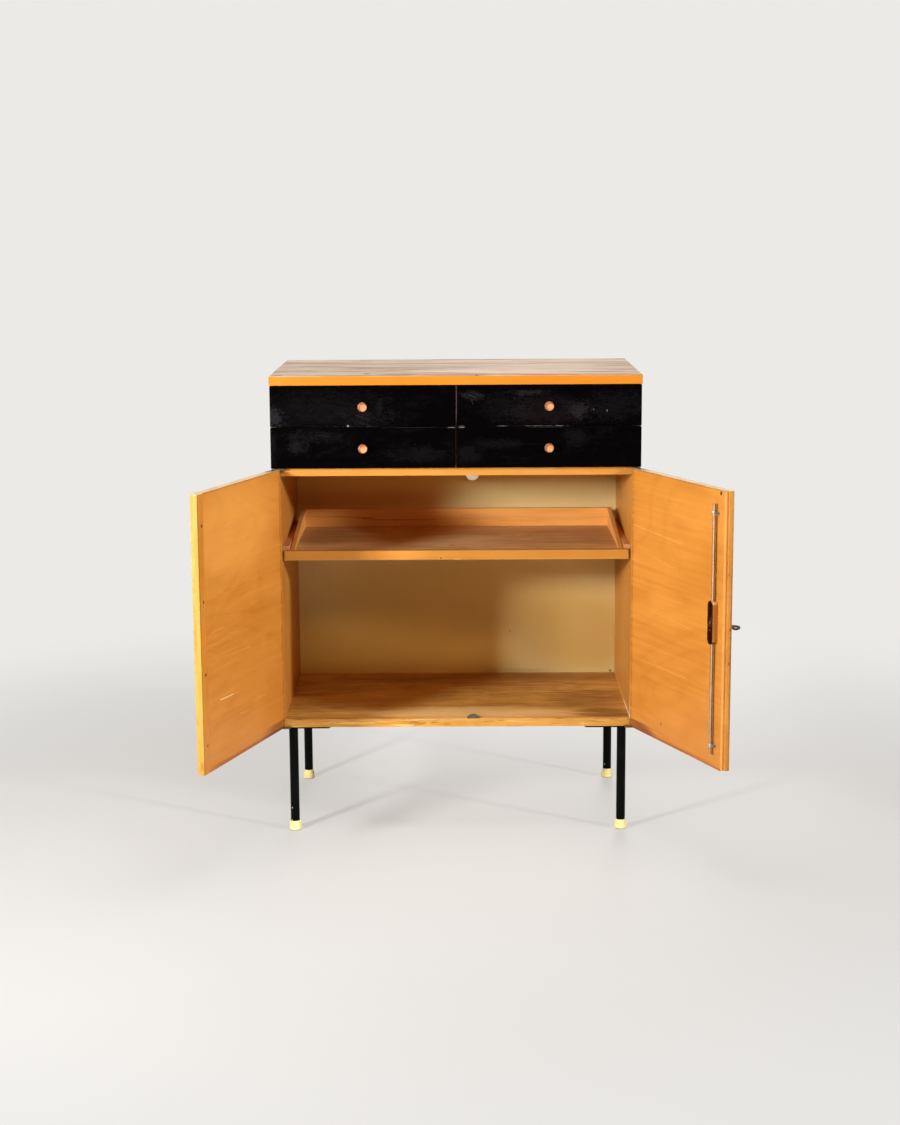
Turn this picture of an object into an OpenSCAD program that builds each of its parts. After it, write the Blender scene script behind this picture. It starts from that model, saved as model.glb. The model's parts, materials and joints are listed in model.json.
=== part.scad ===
// High sideboard on steel legs: four drawers over a two-door cupboard with a pull-out tray.
// Millimetres. X runs to the right, Y to the back and Z up, and the floor is Z = 0.
// The origin is the middle of the case's footprint, and the doors are drawn standing open.

/* [Case] */
// Width over the two side panels
body_w = 800; // [720:1:900]
// Depth of the side panels
body_d = 445; // [420:1:500]
// Height of the top surface above the floor
body_top = 1020; // [980:1:1080]
// Height of the case's underside above the floor
leg_h = 240; // [180:1:280]
// Thickness of the sides, the floor, the rail and the divider
board_t = 18; // [16:0.5:20]
// Thickness of the top panel
top_t = 20; // [16:0.5:24]
// How far the top panel passes each side panel
top_overhang = 1; // [0.5:0.5:3]
// Height of the space for the drawers
drawer_band_h = 180; // [170:1:200]
// Thickness of the back panel
back_t = 5; // [3:0.5:6]
// Width of the rebate that holds the back panel
rebate_w = 9; // [6:0.5:11]
// Room round the back panel in its rebate
back_fit = 0.3; // [0.2:0.1:0.6]

/* [Fronts] */
// Thickness of the doors and the drawer fronts
front_t = 18; // [16:0.5:20]
// Air between the fronts and the case
front_gap = 1.5; // [1:0.1:2.5]
// Air between neighbouring fronts
front_joint = 2; // [1.5:0.1:3]
// How far the fronts stay inside the sides' outer faces
front_reveal = 0.5; // [0.2:0.1:1.5]
// Air between the upper drawer fronts and the top panel
top_reveal = 1.5; // [1:0.1:3]
// Air between the lower drawer fronts and the level of the rail
rail_reveal = 1; // [0.6:0.1:2]

/* [Drawers] */
// Height of a drawer's sides
box_h = 74; // [60:1:78]
// Length of a drawer's sides behind the front
box_d = 400; // [340:1:415]
// Least room behind a closed drawer, which makes the case deeper if the drawers need it
drawer_room = 6; // [2:1:20]
// Thickness of a drawer's sides
box_side_t = 12; // [11:0.5:14]
// Thickness of a drawer's back
box_back_t = 10; // [8:0.5:14]
// How far a drawer's back stays below its sides
box_back_drop = 5; // [0:0.5:12]
// Thickness of a drawer's bottom
box_bottom_t = 4; // [3:0.5:5]
// Height of the bottom's groove above the sides' lower edge
box_bottom_up = 8; // [6:0.5:12]
// Depth of the bottom's groove
box_groove = 5; // [3:0.5:6]
// Room round the bottom in its grooves
panel_fit = 0.2; // [0.1:0.1:0.4]
// Air between a drawer's side and the case
box_side_gap = 1.5; // [1:0.1:3]
// Height of the battens that carry the drawers
batten_h = 14; // [10:0.5:20]
// Thickness of the battens
batten_t = 7.5; // [6:0.5:8.5]
// Air on top of a batten
batten_fit = 0.3; // [0.2:0.05:0.6]
// Air below a batten and at its stopped front end
batten_free = 0.7; // [0.4:0.1:1.5]
// Distance of the battens' front ends from the case's front
batten_set_back = 3; // [2:0.5:10]
// Diameter of a knob
knob_d = 20; // [16:0.5:28]
// How far a knob stands out
knob_l = 19; // [14:0.5:26]
// Diameter of the knob's screw
knob_screw_d = 4; // [3:0.5:5]

/* [Tray] */
// Height of the tray's upper face above the cupboard floor
tray_up = 373; // [250:1:450]
// Distance of the closed tray's strip from the case's front
tray_set_back = 16; // [14.5:0.5:25]
// Depth of the tray from strip to back
tray_d = 368; // [300:1:385]
// Thickness of the tray's board
tray_t = 8; // [6:0.5:10]
// Thickness of the strip along the tray's front
strip_t = 15; // [12:0.5:20]
// Height of the strip
strip_h = 21; // [19:0.5:30]
// How far the strip stands above the board
strip_lip = 3; // [1:0.5:8]
// Air between the strip's ends and the side panels
strip_gap = 4.5; // [4:0.1:8]
// Thickness of the tray's sides
tray_side_t = 9; // [6:0.5:12]
// Thickness of the tray's back wall
tray_back_t = 12; // [8:0.5:15]
// Height of the back wall above the board
tray_wall_h = 42; // [25:1:60]
// Thickness of the grooved runners on the side panels
runner_t = 14; // [12:0.5:18]
// Height of the runners
runner_h = 32; // [26:0.5:40]
// Depth of the groove in a runner
runner_groove = 8; // [6:0.5:9]
// Air above the tray's board in the groove, and at its edge
runner_fit = 0.7; // [0.4:0.1:1.2]
// Air below the tray's board in the groove
runner_seat = 0.3; // [0.2:0.05:0.5]
// Air between the tray's sides and the runners
tray_side_gap = 2; // [1:0.5:5]

/* [Doors] */
// How far the left door stands open, in degrees
left_open = 109; // [0:1:115]
// How far the right door stands open, in degrees
right_open = 113; // [0:1:115]
// Distance of the pivots from the door's hinge edge
pivot_in = 7.5; // [7:0.1:8]
// Distance of the pivots from the door's inner face
pivot_back = 9.5; // [9:0.1:10]
// Radius of the door's edge beside the pivots
hinge_edge_r = 4; // [4:0.1:5]
// Thickness of the pivot hinges' leaves
leaf_t = 2; // [1.5:0.1:2.5]
// Width of the leaves
leaf_w = 11; // [10:0.5:13]
// Length of the leaf in the door, between the centres of its round ends
leaf_l = 40; // [30:1:60]
// How far the case's leaf is cranked inwards
crank = 17; // [16:0.5:20]
// How far the case's leaf reaches behind the case's front
arm_l = 40; // [25:1:60]
// Distance of a leaf's first screw from the pivot, or from the case's front
hinge_screw_in = 14; // [12:0.5:18]
// Diameter of the pivot pins
pin_d = 5; // [4:0.5:6]
// Length of the pivot pins below their leaf
pin_l = 12; // [8:0.5:18]
// Radial running clearance of the pins in the leaves
pin_fit = 0.05; // [0.03:0.01:0.1]
// Air between the two leaves
leaf_gap = 0.4; // [0.3:0.1:0.8]
// Room round a leaf in its recess
leaf_fit = 0.15; // [0.1:0.05:0.3]
// Width of the meeting strip pinned to the left door
meet_w = 26; // [20:0.5:32]
// How far the meeting strip reaches behind the right door
meet_lap = 3.5; // [3:0.5:8]
// Thickness of the meeting strip
meet_t = 8.5; // [6:0.5:10]
// Air between the meeting strip and the right door
meet_fit = 0.7; // [0.5:0.1:1.5]

/* [Bolt lock] */
// Distance of the rods from the right door's free edge
rod_in = 34.5; // [34:0.5:50]
// Diameter of the rods
rod_d = 6; // [5:0.5:7]
// Distance of the rods' axis from the door's inner face
rod_off = 7; // [6.5:0.1:7.5]
// Height of the key's axis above the cupboard floor
lock_up = 273; // [200:1:380]
// Length of the lock's case
case_l = 90; // [76:1:110]
// Air between the lower rod's shoulder, when the lock is shut, and the case's lower end
case_room = 0.9; // [0.6:0.1:4]
// Width of the case
case_w = 20; // [19:0.5:26]
// Depth of the case
case_d = 12.5; // [12.2:0.1:13.5]
// Wall of the case
case_wall = 1.5; // [1:0.1:1.8]
// Front wall of the case
case_face = 1.8; // [1.2:0.1:2]
// Air round a rod in the case and in its guides
rod_fit = 0.2; // [0.1:0.05:0.4]
// Least distance from a rod's drawn-back end to the keeper
keeper_clear = 1.5; // [1:0.1:4]
// Height of the keepers
keeper_h = 11; // [9:0.5:14]
// Width of the keepers
keeper_w = 28; // [20:1:40]
// Depth of the keepers' flange
keeper_d = 15; // [8:0.5:15.5]
// Thickness of the keepers' sheet
keeper_t = 1.5; // [1:0.1:1.8]
// Air between a locked rod's end and the keeper's flange
rod_end_gap = 0.8; // [0.4:0.1:2]
// Distance of the keepers from the case's front
keeper_in = 0.3; // [0:0.1:0.5]
// Teeth on the lock's pinion
pinion_teeth = 8; // [8:2:10]
// Module of the pinion and the racks
tooth_module = 0.9; // [0.9:0.05:1]
// Play at each flank of the teeth
tooth_play = 0.08; // [0.05:0.01:0.12]
// Air between a rack's back and the case's wall
rack_gap = 0.8; // [0.4:0.1:1.5]
// Length of a rod guide
guide_l = 8; // [6:0.5:14]
// Distance of the upper guide from the door's top and the lower one from its bottom
guide_in = 48; // [42:1:90]
// How far the key stands out of the door
key_out = 40; // [28:0.5:45]
// How far the key's bow is turned from level, in degrees
key_lean = 20; // [0:1:45]

/* [Legs] */
// Diameter of the leg tubes
tube_d = 20; // [16:0.5:24]
// Wall of the leg tubes
tube_wall = 1.5; // [1:0.1:3]
// Distance of the legs' axes from the side panels' outer faces
leg_in_side = 35; // [25:0.5:70]
// Distance of the front legs' axes from the case's front
leg_in_front = 14; // [13.5:0.5:50]
// Distance of the rear legs' axes from the side panels' back edge
leg_in_back = 23; // [14:0.5:50]
// Length of the corner plates' straight edges
plate_l = 95; // [80:1:120]
// Thickness of the corner plates
plate_t = 3.5; // [2:0.1:5]
// Radius of the corner plates' corners
plate_r = 8; // [4:0.5:11]
// How far a corner plate passes its tube
plate_lip = 2.5; // [1:0.1:4]
// Diameter of the plates' screws
plate_screw_d = 4; // [3:0.5:5]
// Length of the plates' screws in the wood
plate_screw_l = 12; // [8:0.5:14]
// Height of the ferrules
ferrule_h = 22; // [16:0.5:34]
// Wall of a ferrule at its upper end
ferrule_wall = 2; // [1.5:0.1:4]
// How much wider the ferrule's foot is on each side
ferrule_flare = 1.5; // [0.5:0.1:4]
// Thickness of the ferrule under the tube
ferrule_floor = 4; // [2:0.5:8]
// Room round the tube in its ferrule
ferrule_fit = 0.1; // [0.05:0.05:0.3]

/* [Hidden] */
$fn = 64;

birch = "#e2a24f";
birch_edge = "#f6b556";
cream = "#e9d9a8";
tray_wood = "#dfa560";
beech = "#c98d52";
black_lacquer = "#17161a";
black_steel = "#1d1d20";
zinc = "#a7a398";
brown_steel = "#4a3426";
knob_wood = "#cf8452";
ivory = "#f5e6a6";

// Levels and faces of the case
rebate_d = back_t + 0.5;
case_depth = max(body_d, box_d - front_gap + drawer_room + rebate_d);
front_y = -case_depth / 2;
back_y = case_depth / 2;
side_out = body_w / 2;
side_in = side_out - board_t;
inner_back_y = back_y - rebate_d;
case_top = body_top - top_t;
rail_top = case_top - drawer_band_h;
rail_bottom = rail_top - board_t;
floor_top = leg_h + board_t;
front_face_y = front_y - front_gap - front_t;
front_back_y = front_y - front_gap;

// Drawers: measured from the middle outwards, from the case's front and from the front's lower edge
drawer_rows = 2;
front_in = front_joint / 2;
front_out = side_out - front_reveal;
front_w = front_out - front_in;
front_h = (drawer_band_h - top_reveal - rail_reveal - (drawer_rows - 1) * front_joint) / drawer_rows;
bay_in = board_t / 2;
box_in = bay_in + box_side_gap;
box_out = side_in - box_side_gap;
box_up = (front_h - box_h) / 2;
batten_up = front_h / 2 - batten_h / 2;
batten_l = box_d - front_gap - batten_set_back;
batten_cut = batten_t - box_side_gap + batten_fit;
bottom_up = box_up + box_bottom_up;

// Tray
tray_top = floor_top + tray_up;
tray_front = front_y + tray_set_back;
tray_back = tray_front + tray_d;
board_front = tray_front + strip_t;
runner_in = side_in - runner_t;
tray_half = runner_in + runner_groove - runner_fit;
tray_wall_out = runner_in - tray_side_gap;
strip_half = side_in - strip_gap;
runner_z = tray_top - tray_t / 2 - runner_h / 2;
runner_start = board_front + 1;
runner_end = tray_back + 8;

// Doors, drawn closed first and then swung about their pivots
door_top = rail_top - leaf_t - leaf_gap;
door_bottom = leg_h + leaf_t + leaf_gap;
door_h = door_top - door_bottom;
pivot_x = front_out - pivot_in;
pivot_y = front_back_y - pivot_back;
arm_x = pivot_x - crank;
meet_in = front_in + meet_lap;
meet_back = meet_in - meet_w;
lap_in = meet_in + front_joint;
hinge_screw_d = 3.6;
arm_screws = [hinge_screw_in, arm_l - 4];
leaf_screws = [hinge_screw_in, leaf_l - 2];

// Bolt lock, in the closed door's place
rod_x = front_in + rod_in;
rod_y = front_back_y + rod_off;
lock_z = floor_top + lock_up;
pitch_r = tooth_module * pinion_teeth / 2;
tooth_pitch = PI * tooth_module;
tip_r = pitch_r + 0.93 * tooth_module;
root_r = pitch_r - 0.6 * tooth_module;
base_r = pitch_r * cos(20);
rack_tip = pitch_r - 0.44 * tooth_module;
rack_root = pitch_r + 1.2 * tooth_module;
rack_w = 5;
stroke = PI * pitch_r;
shoulder_z = tip_r + 2.5;
shoulder_t = 4;
rack_l = stroke + shoulder_z + tip_r + 1;
case_bore_r = case_w / 2 - case_wall;
rack_out = case_bore_r - rack_gap;
case_end = case_w / 2 - sqrt(pow(case_bore_r, 2) - pow(rack_out, 2)) + case_room;
case_mid = case_l / 2 - stroke - shoulder_z - shoulder_t - case_end;
rod_back = max(keeper_h + keeper_clear, stroke + keeper_t + rod_end_gap);
upper_tip = rail_bottom - rod_back;
lower_tip = floor_top + rod_back;
keeper_screw_d = 3.2;
keeper_screw_x = keeper_w * 0.32;
keeper_screw_y = keeper_d * 0.62;
guide_wall = 1.2;
guide_foot = 6;
guide_screw_d = 2.6;
bow_r = rod_d / 2 + rod_fit + guide_wall;
guide_screw_x = bow_r + guide_foot * 0.55;
keyhole_r = 3.6;
key_r = 1.75;
key_socket_r = 1.85;
pinion_hub_r = 2.75;
stub_r = 1.6;
escutcheon_r = 8.5;
escutcheon_t = 1.2;

// Legs
leg_x = side_out - leg_in_side;
leg_front_y = front_y + leg_in_front;
leg_rear_y = back_y - leg_in_back;
tube_top = leg_h - plate_t;
plate_edge = tube_d / 2 + plate_lip;
plate_holes = [
    [plate_l * 0.8, plate_edge + 2.5],
    [plate_edge + 2.5, plate_l * 0.8],
    [plate_l * 0.45, plate_l * 0.45],
];

// Two values on an axis: where a piece begins and where it ends
function span(low, size) = [low, low + size];

// A box between two values on each axis
module block(x, y, z) {
    translate([x[0], y[0], z[0]])
        cube([x[1] - x[0], y[1] - y[0], z[1] - z[0]]);
}

// A flat shape with round ends, from the origin along X
module round_bar(length, width) {
    translate([0, -width / 2])
        square([length, width]);
    circle(d = width);
    translate([length, 0])
        circle(d = width);
}

module both_sides() {
    children();
    mirror([1, 0, 0])
        children();
}

// Case

module top_panel() {
    color(birch_edge)
        block([-side_out - top_overhang, side_out + top_overhang], [front_face_y, back_y],
              [case_top, body_top]);
}

// The right side panel, with the rebate for the back panel
module side_panel() {
    color(birch)
        difference() {
            block([side_in, side_out], [front_y, back_y], [leg_h, case_top]);
            block([side_in - 1, side_in + rebate_w], [inner_back_y, back_y + 1],
                  [leg_h - 1, case_top + 1]);
        }
}

module left_side_panel() {
    mirror([1, 0, 0])
        side_panel();
}

module right_side_panel() {
    side_panel();
}

// The outline of a case leaf: a crank in front of the case and a tail behind its front
module arm_outline(grow) {
    translate([arm_x, pivot_y])
        for (bar = [[crank, 0], [front_y - pivot_y + arm_l, 90]])
            rotate(bar[1])
                round_bar(bar[0], leaf_w + 2 * grow);
}

// The recess that a case leaf lies in
module arm_recess(z) {
    translate([0, 0, z])
        linear_extrude(leaf_t + 1)
            arm_outline(leaf_fit);
}

module bottom_panel() {
    color(birch)
        difference() {
            block([-side_in, side_in], [front_y, inner_back_y], [leg_h, floor_top]);
            both_sides()
                arm_recess(leg_h - 1);
            at_plate_screws()
                translate([0, 0, leg_h - 1])
                    cylinder(d = plate_screw_d + 0.3, h = plate_screw_l + 2);
        }
}

module dust_panel() {
    color(birch_edge)
        difference() {
            block([-side_in, side_in], [front_y, inner_back_y], [rail_bottom, rail_top]);
            both_sides()
                arm_recess(rail_top - leaf_t);
        }
}

module back_panel() {
    half = side_in + rebate_w - back_fit;
    color(cream)
        block([-half, half], [inner_back_y, inner_back_y + back_t],
              [leg_h + 2, case_top - back_fit]);
}

module centre_divider() {
    color(birch)
        block([-bay_in, bay_in], [front_y, inner_back_y], [rail_top, case_top]);
}

// Level of a row's lower edge, counted from the bottom
function row_z(row) = rail_top + rail_reveal + row * (front_h + front_joint);

// The battens on the side panels and on the divider, in the drawers' grooves
module drawer_runners() {
    color(beech)
        both_sides()
            for (row = [0 : drawer_rows - 1])
                for (x = [[bay_in, bay_in + batten_t], [side_in - batten_t, side_in]])
                    block(x, span(front_y + batten_set_back, batten_l),
                          span(row_z(row) + batten_up, batten_h));
}

module tray_runners() {
    groove_z = tray_top - tray_t - runner_seat;
    color(beech)
        both_sides()
            difference() {
                block([runner_in, side_in], [runner_start, runner_end],
                      span(runner_z, runner_h));
                block([runner_in - 1, runner_in + runner_groove],
                      [runner_start - 1, runner_end + 1],
                      span(groove_z, tray_t + runner_seat + runner_fit));
            }
}

// One case leaf with its pin, lying on level z, with the pin on the side towards the door
module hinge_arm(z, down) {
    difference() {
        translate([0, 0, z])
            linear_extrude(leaf_t)
                arm_outline(0);
        for (back = arm_screws)
            translate([arm_x, front_y + back, z - 1])
                cylinder(d = hinge_screw_d, h = leaf_t + 2, $fn = 32);
    }
    translate([pivot_x, pivot_y, down ? z - pin_l : z + 0.5])
        cylinder(d = pin_d, h = leaf_t + pin_l - 0.5);
}

module hinge_arms() {
    color(zinc)
        both_sides() {
            hinge_arm(rail_top - leaf_t, true);
            hinge_arm(leg_h, false);
        }
}

// A keeper on the panel above it: a flange and a half-round lip that hangs in front of the rod
module keeper() {
    translate([-keeper_w / 2, 0, -keeper_t])
        difference() {
            cube([keeper_w, keeper_d, keeper_t]);
            for (side = [-1, 1])
                translate([keeper_w / 2 + side * keeper_screw_x, keeper_screw_y, -1])
                    cylinder(d = keeper_screw_d, h = keeper_t + 2, $fn = 32);
        }
    rotate([-90, 0, 0])
        linear_extrude(keeper_t)
            keeper_lip();
}

// A circle cut by its chord, as wide and as high as the lip
module keeper_lip() {
    lip_r = (keeper_w * keeper_w / 4 + keeper_h * keeper_h) / (2 * keeper_h);
    intersection() {
        translate([0, keeper_h - lip_r])
            circle(r = lip_r);
        translate([-keeper_w / 2, 0])
            square([keeper_w, keeper_h]);
    }
}

module door_keepers() {
    color(zinc) {
        translate([rod_x, front_y + keeper_in, rail_bottom])
            keeper();
        translate([rod_x, front_y + keeper_in, floor_top])
            mirror([0, 0, 1])
                keeper();
    }
}

// Legs

// A corner plate's place: its outer corner at the origin, its edges along +X and +Y
module at_plate(side, rear) {
    y = rear ? leg_rear_y + plate_edge : leg_front_y - plate_edge;
    translate([side * (leg_x + plate_edge), y, 0])
        mirror([side > 0 ? 1 : 0, 0, 0])
            mirror([0, rear ? 1 : 0, 0])
                children();
}

module at_plates() {
    for (side = [-1, 1])
        for (rear = [false, true])
            at_plate(side, rear)
                children();
}

module at_plate_screws() {
    at_plates()
        for (p = plate_holes)
            translate(p)
                children();
}

// A right-angled triangle with round corners
module plate_outline() {
    reach = plate_l - 2 * plate_r;
    slant = plate_r * sqrt(0.5);
    translate([plate_r, plate_r]) {
        polygon([[0, -plate_r], [reach, -plate_r], [reach + slant, slant],
                 [slant, reach + slant], [-plate_r, reach], [-plate_r, 0]]);
        for (p = [[0, 0], [reach, 0], [0, reach]])
            translate(p)
                circle(r = plate_r);
    }
}

module corner_plates() {
    color(black_steel)
        at_plates()
            translate([0, 0, tube_top])
                linear_extrude(plate_t)
                    difference() {
                        plate_outline();
                        for (p = plate_holes)
                            translate(p)
                                circle(d = plate_screw_d + 0.6);
                    }
}

module plate_screws() {
    color(zinc)
        at_plate_screws()
            translate([0, 0, tube_top])
                rotate_extrude()
                    polygon([[0, -2.4], [plate_screw_d * 0.55, -2.4], [plate_screw_d * 0.9, -1.6],
                             [plate_screw_d, -0.4], [plate_screw_d, 0], [plate_screw_d / 2, 0],
                             [plate_screw_d / 2, plate_t + plate_screw_l - 3],
                             [0, plate_t + plate_screw_l]]);
}

module leg(x, y) {
    color(black_steel)
        translate([x, y, ferrule_floor])
            difference() {
                cylinder(d = tube_d, h = tube_top - ferrule_floor);
                translate([0, 0, -1])
                    cylinder(d = tube_d - 2 * tube_wall, h = tube_top - ferrule_floor + 2);
            }
}

// A slightly flared cap with a rounded foot
module ferrule(x, y) {
    bore = tube_d / 2 + ferrule_fit;
    top_r = bore + ferrule_wall;
    foot_r = top_r + ferrule_flare;
    color(ivory)
        translate([x, y, 0])
            rotate_extrude()
                difference() {
                    polygon([[0, 0], [foot_r - 2, 0], [foot_r, 2], [foot_r, 4],
                             [top_r, ferrule_h - 1], [top_r - 1, ferrule_h], [0, ferrule_h]]);
                    translate([-1, ferrule_floor])
                        square([bore + 1, ferrule_h]);
                }
}

module front_left_leg() { leg(-leg_x, leg_front_y); }
module front_right_leg() { leg(leg_x, leg_front_y); }
module rear_left_leg() { leg(-leg_x, leg_rear_y); }
module rear_right_leg() { leg(leg_x, leg_rear_y); }
module front_left_ferrule() { ferrule(-leg_x, leg_front_y); }
module front_right_ferrule() { ferrule(leg_x, leg_front_y); }
module rear_left_ferrule() { ferrule(-leg_x, leg_rear_y); }
module rear_right_ferrule() { ferrule(leg_x, leg_rear_y); }

// Doors

// Swings what is drawn in the closed left door's place
module on_left_door() {
    translate([-pivot_x, pivot_y, 0])
        rotate(-left_open)
            translate([pivot_x, -pivot_y, 0])
                children();
}

// Swings what is drawn in the closed right door's place
module on_right_door() {
    translate([pivot_x, pivot_y, 0])
        rotate(right_open)
            translate([-pivot_x, -pivot_y, 0])
                children();
}

// A closed door's outline from above, on the right-hand side, with its rounded hinge edge
module door_outline() {
    edge = front_out - hinge_edge_r;
    translate([front_in, front_face_y])
        square([edge - front_in, front_t]);
    translate([edge - 1, front_face_y + hinge_edge_r])
        square([hinge_edge_r + 1, front_t - 2 * hinge_edge_r]);
    for (y = [front_face_y + hinge_edge_r, front_back_y - hinge_edge_r])
        translate([edge, y])
            circle(r = hinge_edge_r);
}

// What a hinge takes out of a right-hand door: the leaf's recess and the pin's hole, at both ends
module hinge_cuts() {
    for (z = [door_bottom - 1, door_top - leaf_t])
        translate([pivot_x, pivot_y, z])
            rotate(180)
                linear_extrude(leaf_t + 1)
                    round_bar(leaf_l, leaf_w + 2 * leaf_fit);
    for (z = [door_bottom, door_top - pin_l - 2])
        translate([pivot_x, pivot_y, z])
            cylinder(r = pin_d / 2 + 0.3, h = pin_l + 2);
}

// The two leaves let into a right-hand door's ends
module hinge_leaves() {
    color(zinc)
        for (z = [door_bottom, door_top - leaf_t])
            difference() {
                translate([pivot_x, pivot_y, z])
                    rotate(180)
                        linear_extrude(leaf_t)
                            round_bar(leaf_l, leaf_w);
                translate([pivot_x, pivot_y, z - 1])
                    cylinder(r = pin_d / 2 + pin_fit, h = leaf_t + 2);
                for (u = leaf_screws)
                    translate([pivot_x - u, pivot_y, z - 1])
                        cylinder(d = hinge_screw_d, h = leaf_t + 2, $fn = 32);
            }
}

module left_door_panel() {
    color(birch)
        on_left_door()
            mirror([1, 0, 0])
                difference() {
                    translate([0, 0, door_bottom])
                        linear_extrude(door_h)
                            door_outline();
                    hinge_cuts();
                    block([0, -meet_back], [front_back_y - meet_t, front_y],
                          [door_bottom - 1, door_top + 1]);
                }
}

// Lies in the left door's rebate and reaches behind the right door
module left_meeting_strip() {
    color(birch_edge)
        on_left_door()
            block([meet_back, meet_in], [front_back_y - meet_t, front_back_y],
                  [door_bottom, door_top]);
}

module left_hinge_leaves() {
    on_left_door()
        mirror([1, 0, 0])
            hinge_leaves();
}

module right_door_panel() {
    color(birch)
        on_right_door()
            difference() {
                translate([0, 0, door_bottom])
                    linear_extrude(door_h)
                        door_outline();
                hinge_cuts();
                block([0, lap_in], [front_back_y - meet_t - meet_fit, front_y],
                      [door_bottom - 1, door_top + 1]);
                translate([rod_x, front_y, lock_z])
                    rotate([90, 0, 0])
                        cylinder(r = keyhole_r, h = front_gap + front_t + 1);
                at_guide_screws()
                    cylinder(d = guide_screw_d + 0.2, h = 18, center = true, $fn = 32);
            }
}

module right_hinge_leaves() {
    on_right_door()
        hinge_leaves();
}

// Bolt lock

// Puts the rods' axis at the origin, with Y away from the door and Z up
module at_lock() {
    translate([rod_x, rod_y, lock_z])
        children();
}

// The cover over the pinion and the racks, open towards the door
module lock_case() {
    color(brown_steel)
        on_right_door()
            difference() {
                at_lock()
                    translate([0, -rod_off, case_mid])
                        case_solid(case_w, case_d);
                at_lock()
                    translate([0, -rod_off - 1, case_mid])
                        case_solid(2 * case_bore_r, case_d - case_face + 1);
                at_lock()
                    translate([0, 0, case_mid])
                        cylinder(r = rod_d / 2 + rod_fit, h = case_l + 2, center = true);
                at_lock()
                    rotate([-90, 0, 0])
                        cylinder(r = stub_r + pin_fit, h = case_d);
            }
}

module case_solid(width, depth) {
    straight = case_l - case_w;
    rotate([-90, -90, 0])
        linear_extrude(depth)
            translate([-straight / 2, 0])
                round_bar(straight, width);
}

// The rack on the side +X of the pinion, from its shoulder at the bottom upwards
module rack() {
    flank = tan(20);
    thick = tooth_pitch / 2 - 2 * tooth_play;
    count = floor(rack_l / tooth_pitch);
    translate([0, rack_w / 2, 0])
        rotate([90, 0, 0])
            linear_extrude(rack_w) {
                translate([rack_root, -shoulder_z - 0.5])
                    square([rack_out - rack_root, rack_l + 0.5]);
                for (k = [0 : count - 1])
                    translate([0, tooth_pitch * (k - floor(shoulder_z / tooth_pitch) + 0.5)])
                        polygon([
                            [rack_root + 0.1, -thick / 2 - (rack_root - pitch_r) * flank],
                            [rack_tip, -thick / 2 + (pitch_r - rack_tip) * flank],
                            [rack_tip, thick / 2 - (pitch_r - rack_tip) * flank],
                            [rack_root + 0.1, thick / 2 + (rack_root - pitch_r) * flank],
                        ]);
            }
}

// A rod with its shoulder and rack, reaching down from the pinion to its tip
module rod(tip) {
    shoulder_low = -shoulder_z - shoulder_t;
    rack();
    translate([-rod_d / 2, -rack_w / 2, shoulder_low])
        cube([rod_d / 2 + rack_out, rack_w, shoulder_t]);
    translate([0, 0, -tip])
        cylinder(d = rod_d, h = tip + shoulder_low + 0.5);
}

module lower_rod() {
    color(zinc)
        on_right_door()
            at_lock()
                rod(lock_z - lower_tip);
}

module upper_rod() {
    color(zinc)
        on_right_door()
            at_lock()
                rotate([0, 180, 0])
                    rod(upper_tip - lock_z);
}

// Involute function, in degrees
function involute(a) = tan(a) * 180 / PI - a;

// Half the angle of a tooth at radius r
function half_tooth(r) =
    90 / pinion_teeth - tooth_play / pitch_r * 180 / PI
    + involute(20) - involute(acos(min(1, base_r / r)));

// One pinion tooth from root to tip and back
function tooth_points(turn) =
    let (steps = 4,
         radii = [for (i = [0 : steps]) base_r + (tip_r - base_r) * i / steps],
         root = [root_r * [cos(turn - half_tooth(base_r)), sin(turn - half_tooth(base_r))]],
         rise = [for (r = radii) r * [cos(turn - half_tooth(r)), sin(turn - half_tooth(r))]],
         fall = [for (i = [steps : -1 : 0])
                 radii[i] * [cos(turn + half_tooth(radii[i])), sin(turn + half_tooth(radii[i]))]],
         foot = [root_r * [cos(turn + half_tooth(base_r)), sin(turn + half_tooth(base_r))]])
    concat(root, rise, fall, foot);

// The toothed wheel that the key turns, on a stub in the case's face
module lock_pinion() {
    outline = [for (k = [0 : pinion_teeth - 1]) each tooth_points(360 * k / pinion_teeth)];
    face_y = case_d - rod_off;
    color(zinc)
        on_right_door()
            at_lock()
                rotate([-90, 0, 0])
                    difference() {
                        union() {
                            translate([0, 0, -rack_w / 2 - 0.2])
                                linear_extrude(rack_w + 0.4)
                                    polygon(outline);
                            translate([0, 0, -rod_off + 0.3])
                                cylinder(r = pinion_hub_r, h = rod_off - rack_w / 2);
                            cylinder(r = stub_r, h = face_y - 0.2);
                        }
                        translate([0, 0, -rod_off - 1])
                            cylinder(r = key_socket_r, h = rod_off);
                    }
}

// A barrel key: stem, collar and an oval bow with a hole
module key() {
    door_out = -rod_off - front_t;
    bow_l = 20;
    bow_w = 17;
    color(zinc)
        on_right_door()
            at_lock()
                rotate([90, 0, 0]) {
                    translate([0, 0, 1.2])
                        cylinder(r = key_r, h = -door_out + key_out - bow_l);
                    translate([0, 0, -door_out + 2])
                        cylinder(r = key_r + 1.2, h = 4);
                    translate([0, 0, -door_out + key_out - bow_l])
                        rotate([90, 0, key_lean])
                            translate([0, 0, -1.3])
                                linear_extrude(2.6)
                                    difference() {
                                        key_bow(bow_l, bow_w);
                                        translate([0, bow_l * 0.52])
                                            circle(d = bow_l * 0.36, $fn = 32);
                                    }
                }
}

module key_bow(length, width) {
    translate([0, width / 2 - 0.5])
        circle(d = width);
    translate([0, length - width * 0.36])
        circle(d = width * 0.72);
}

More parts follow.
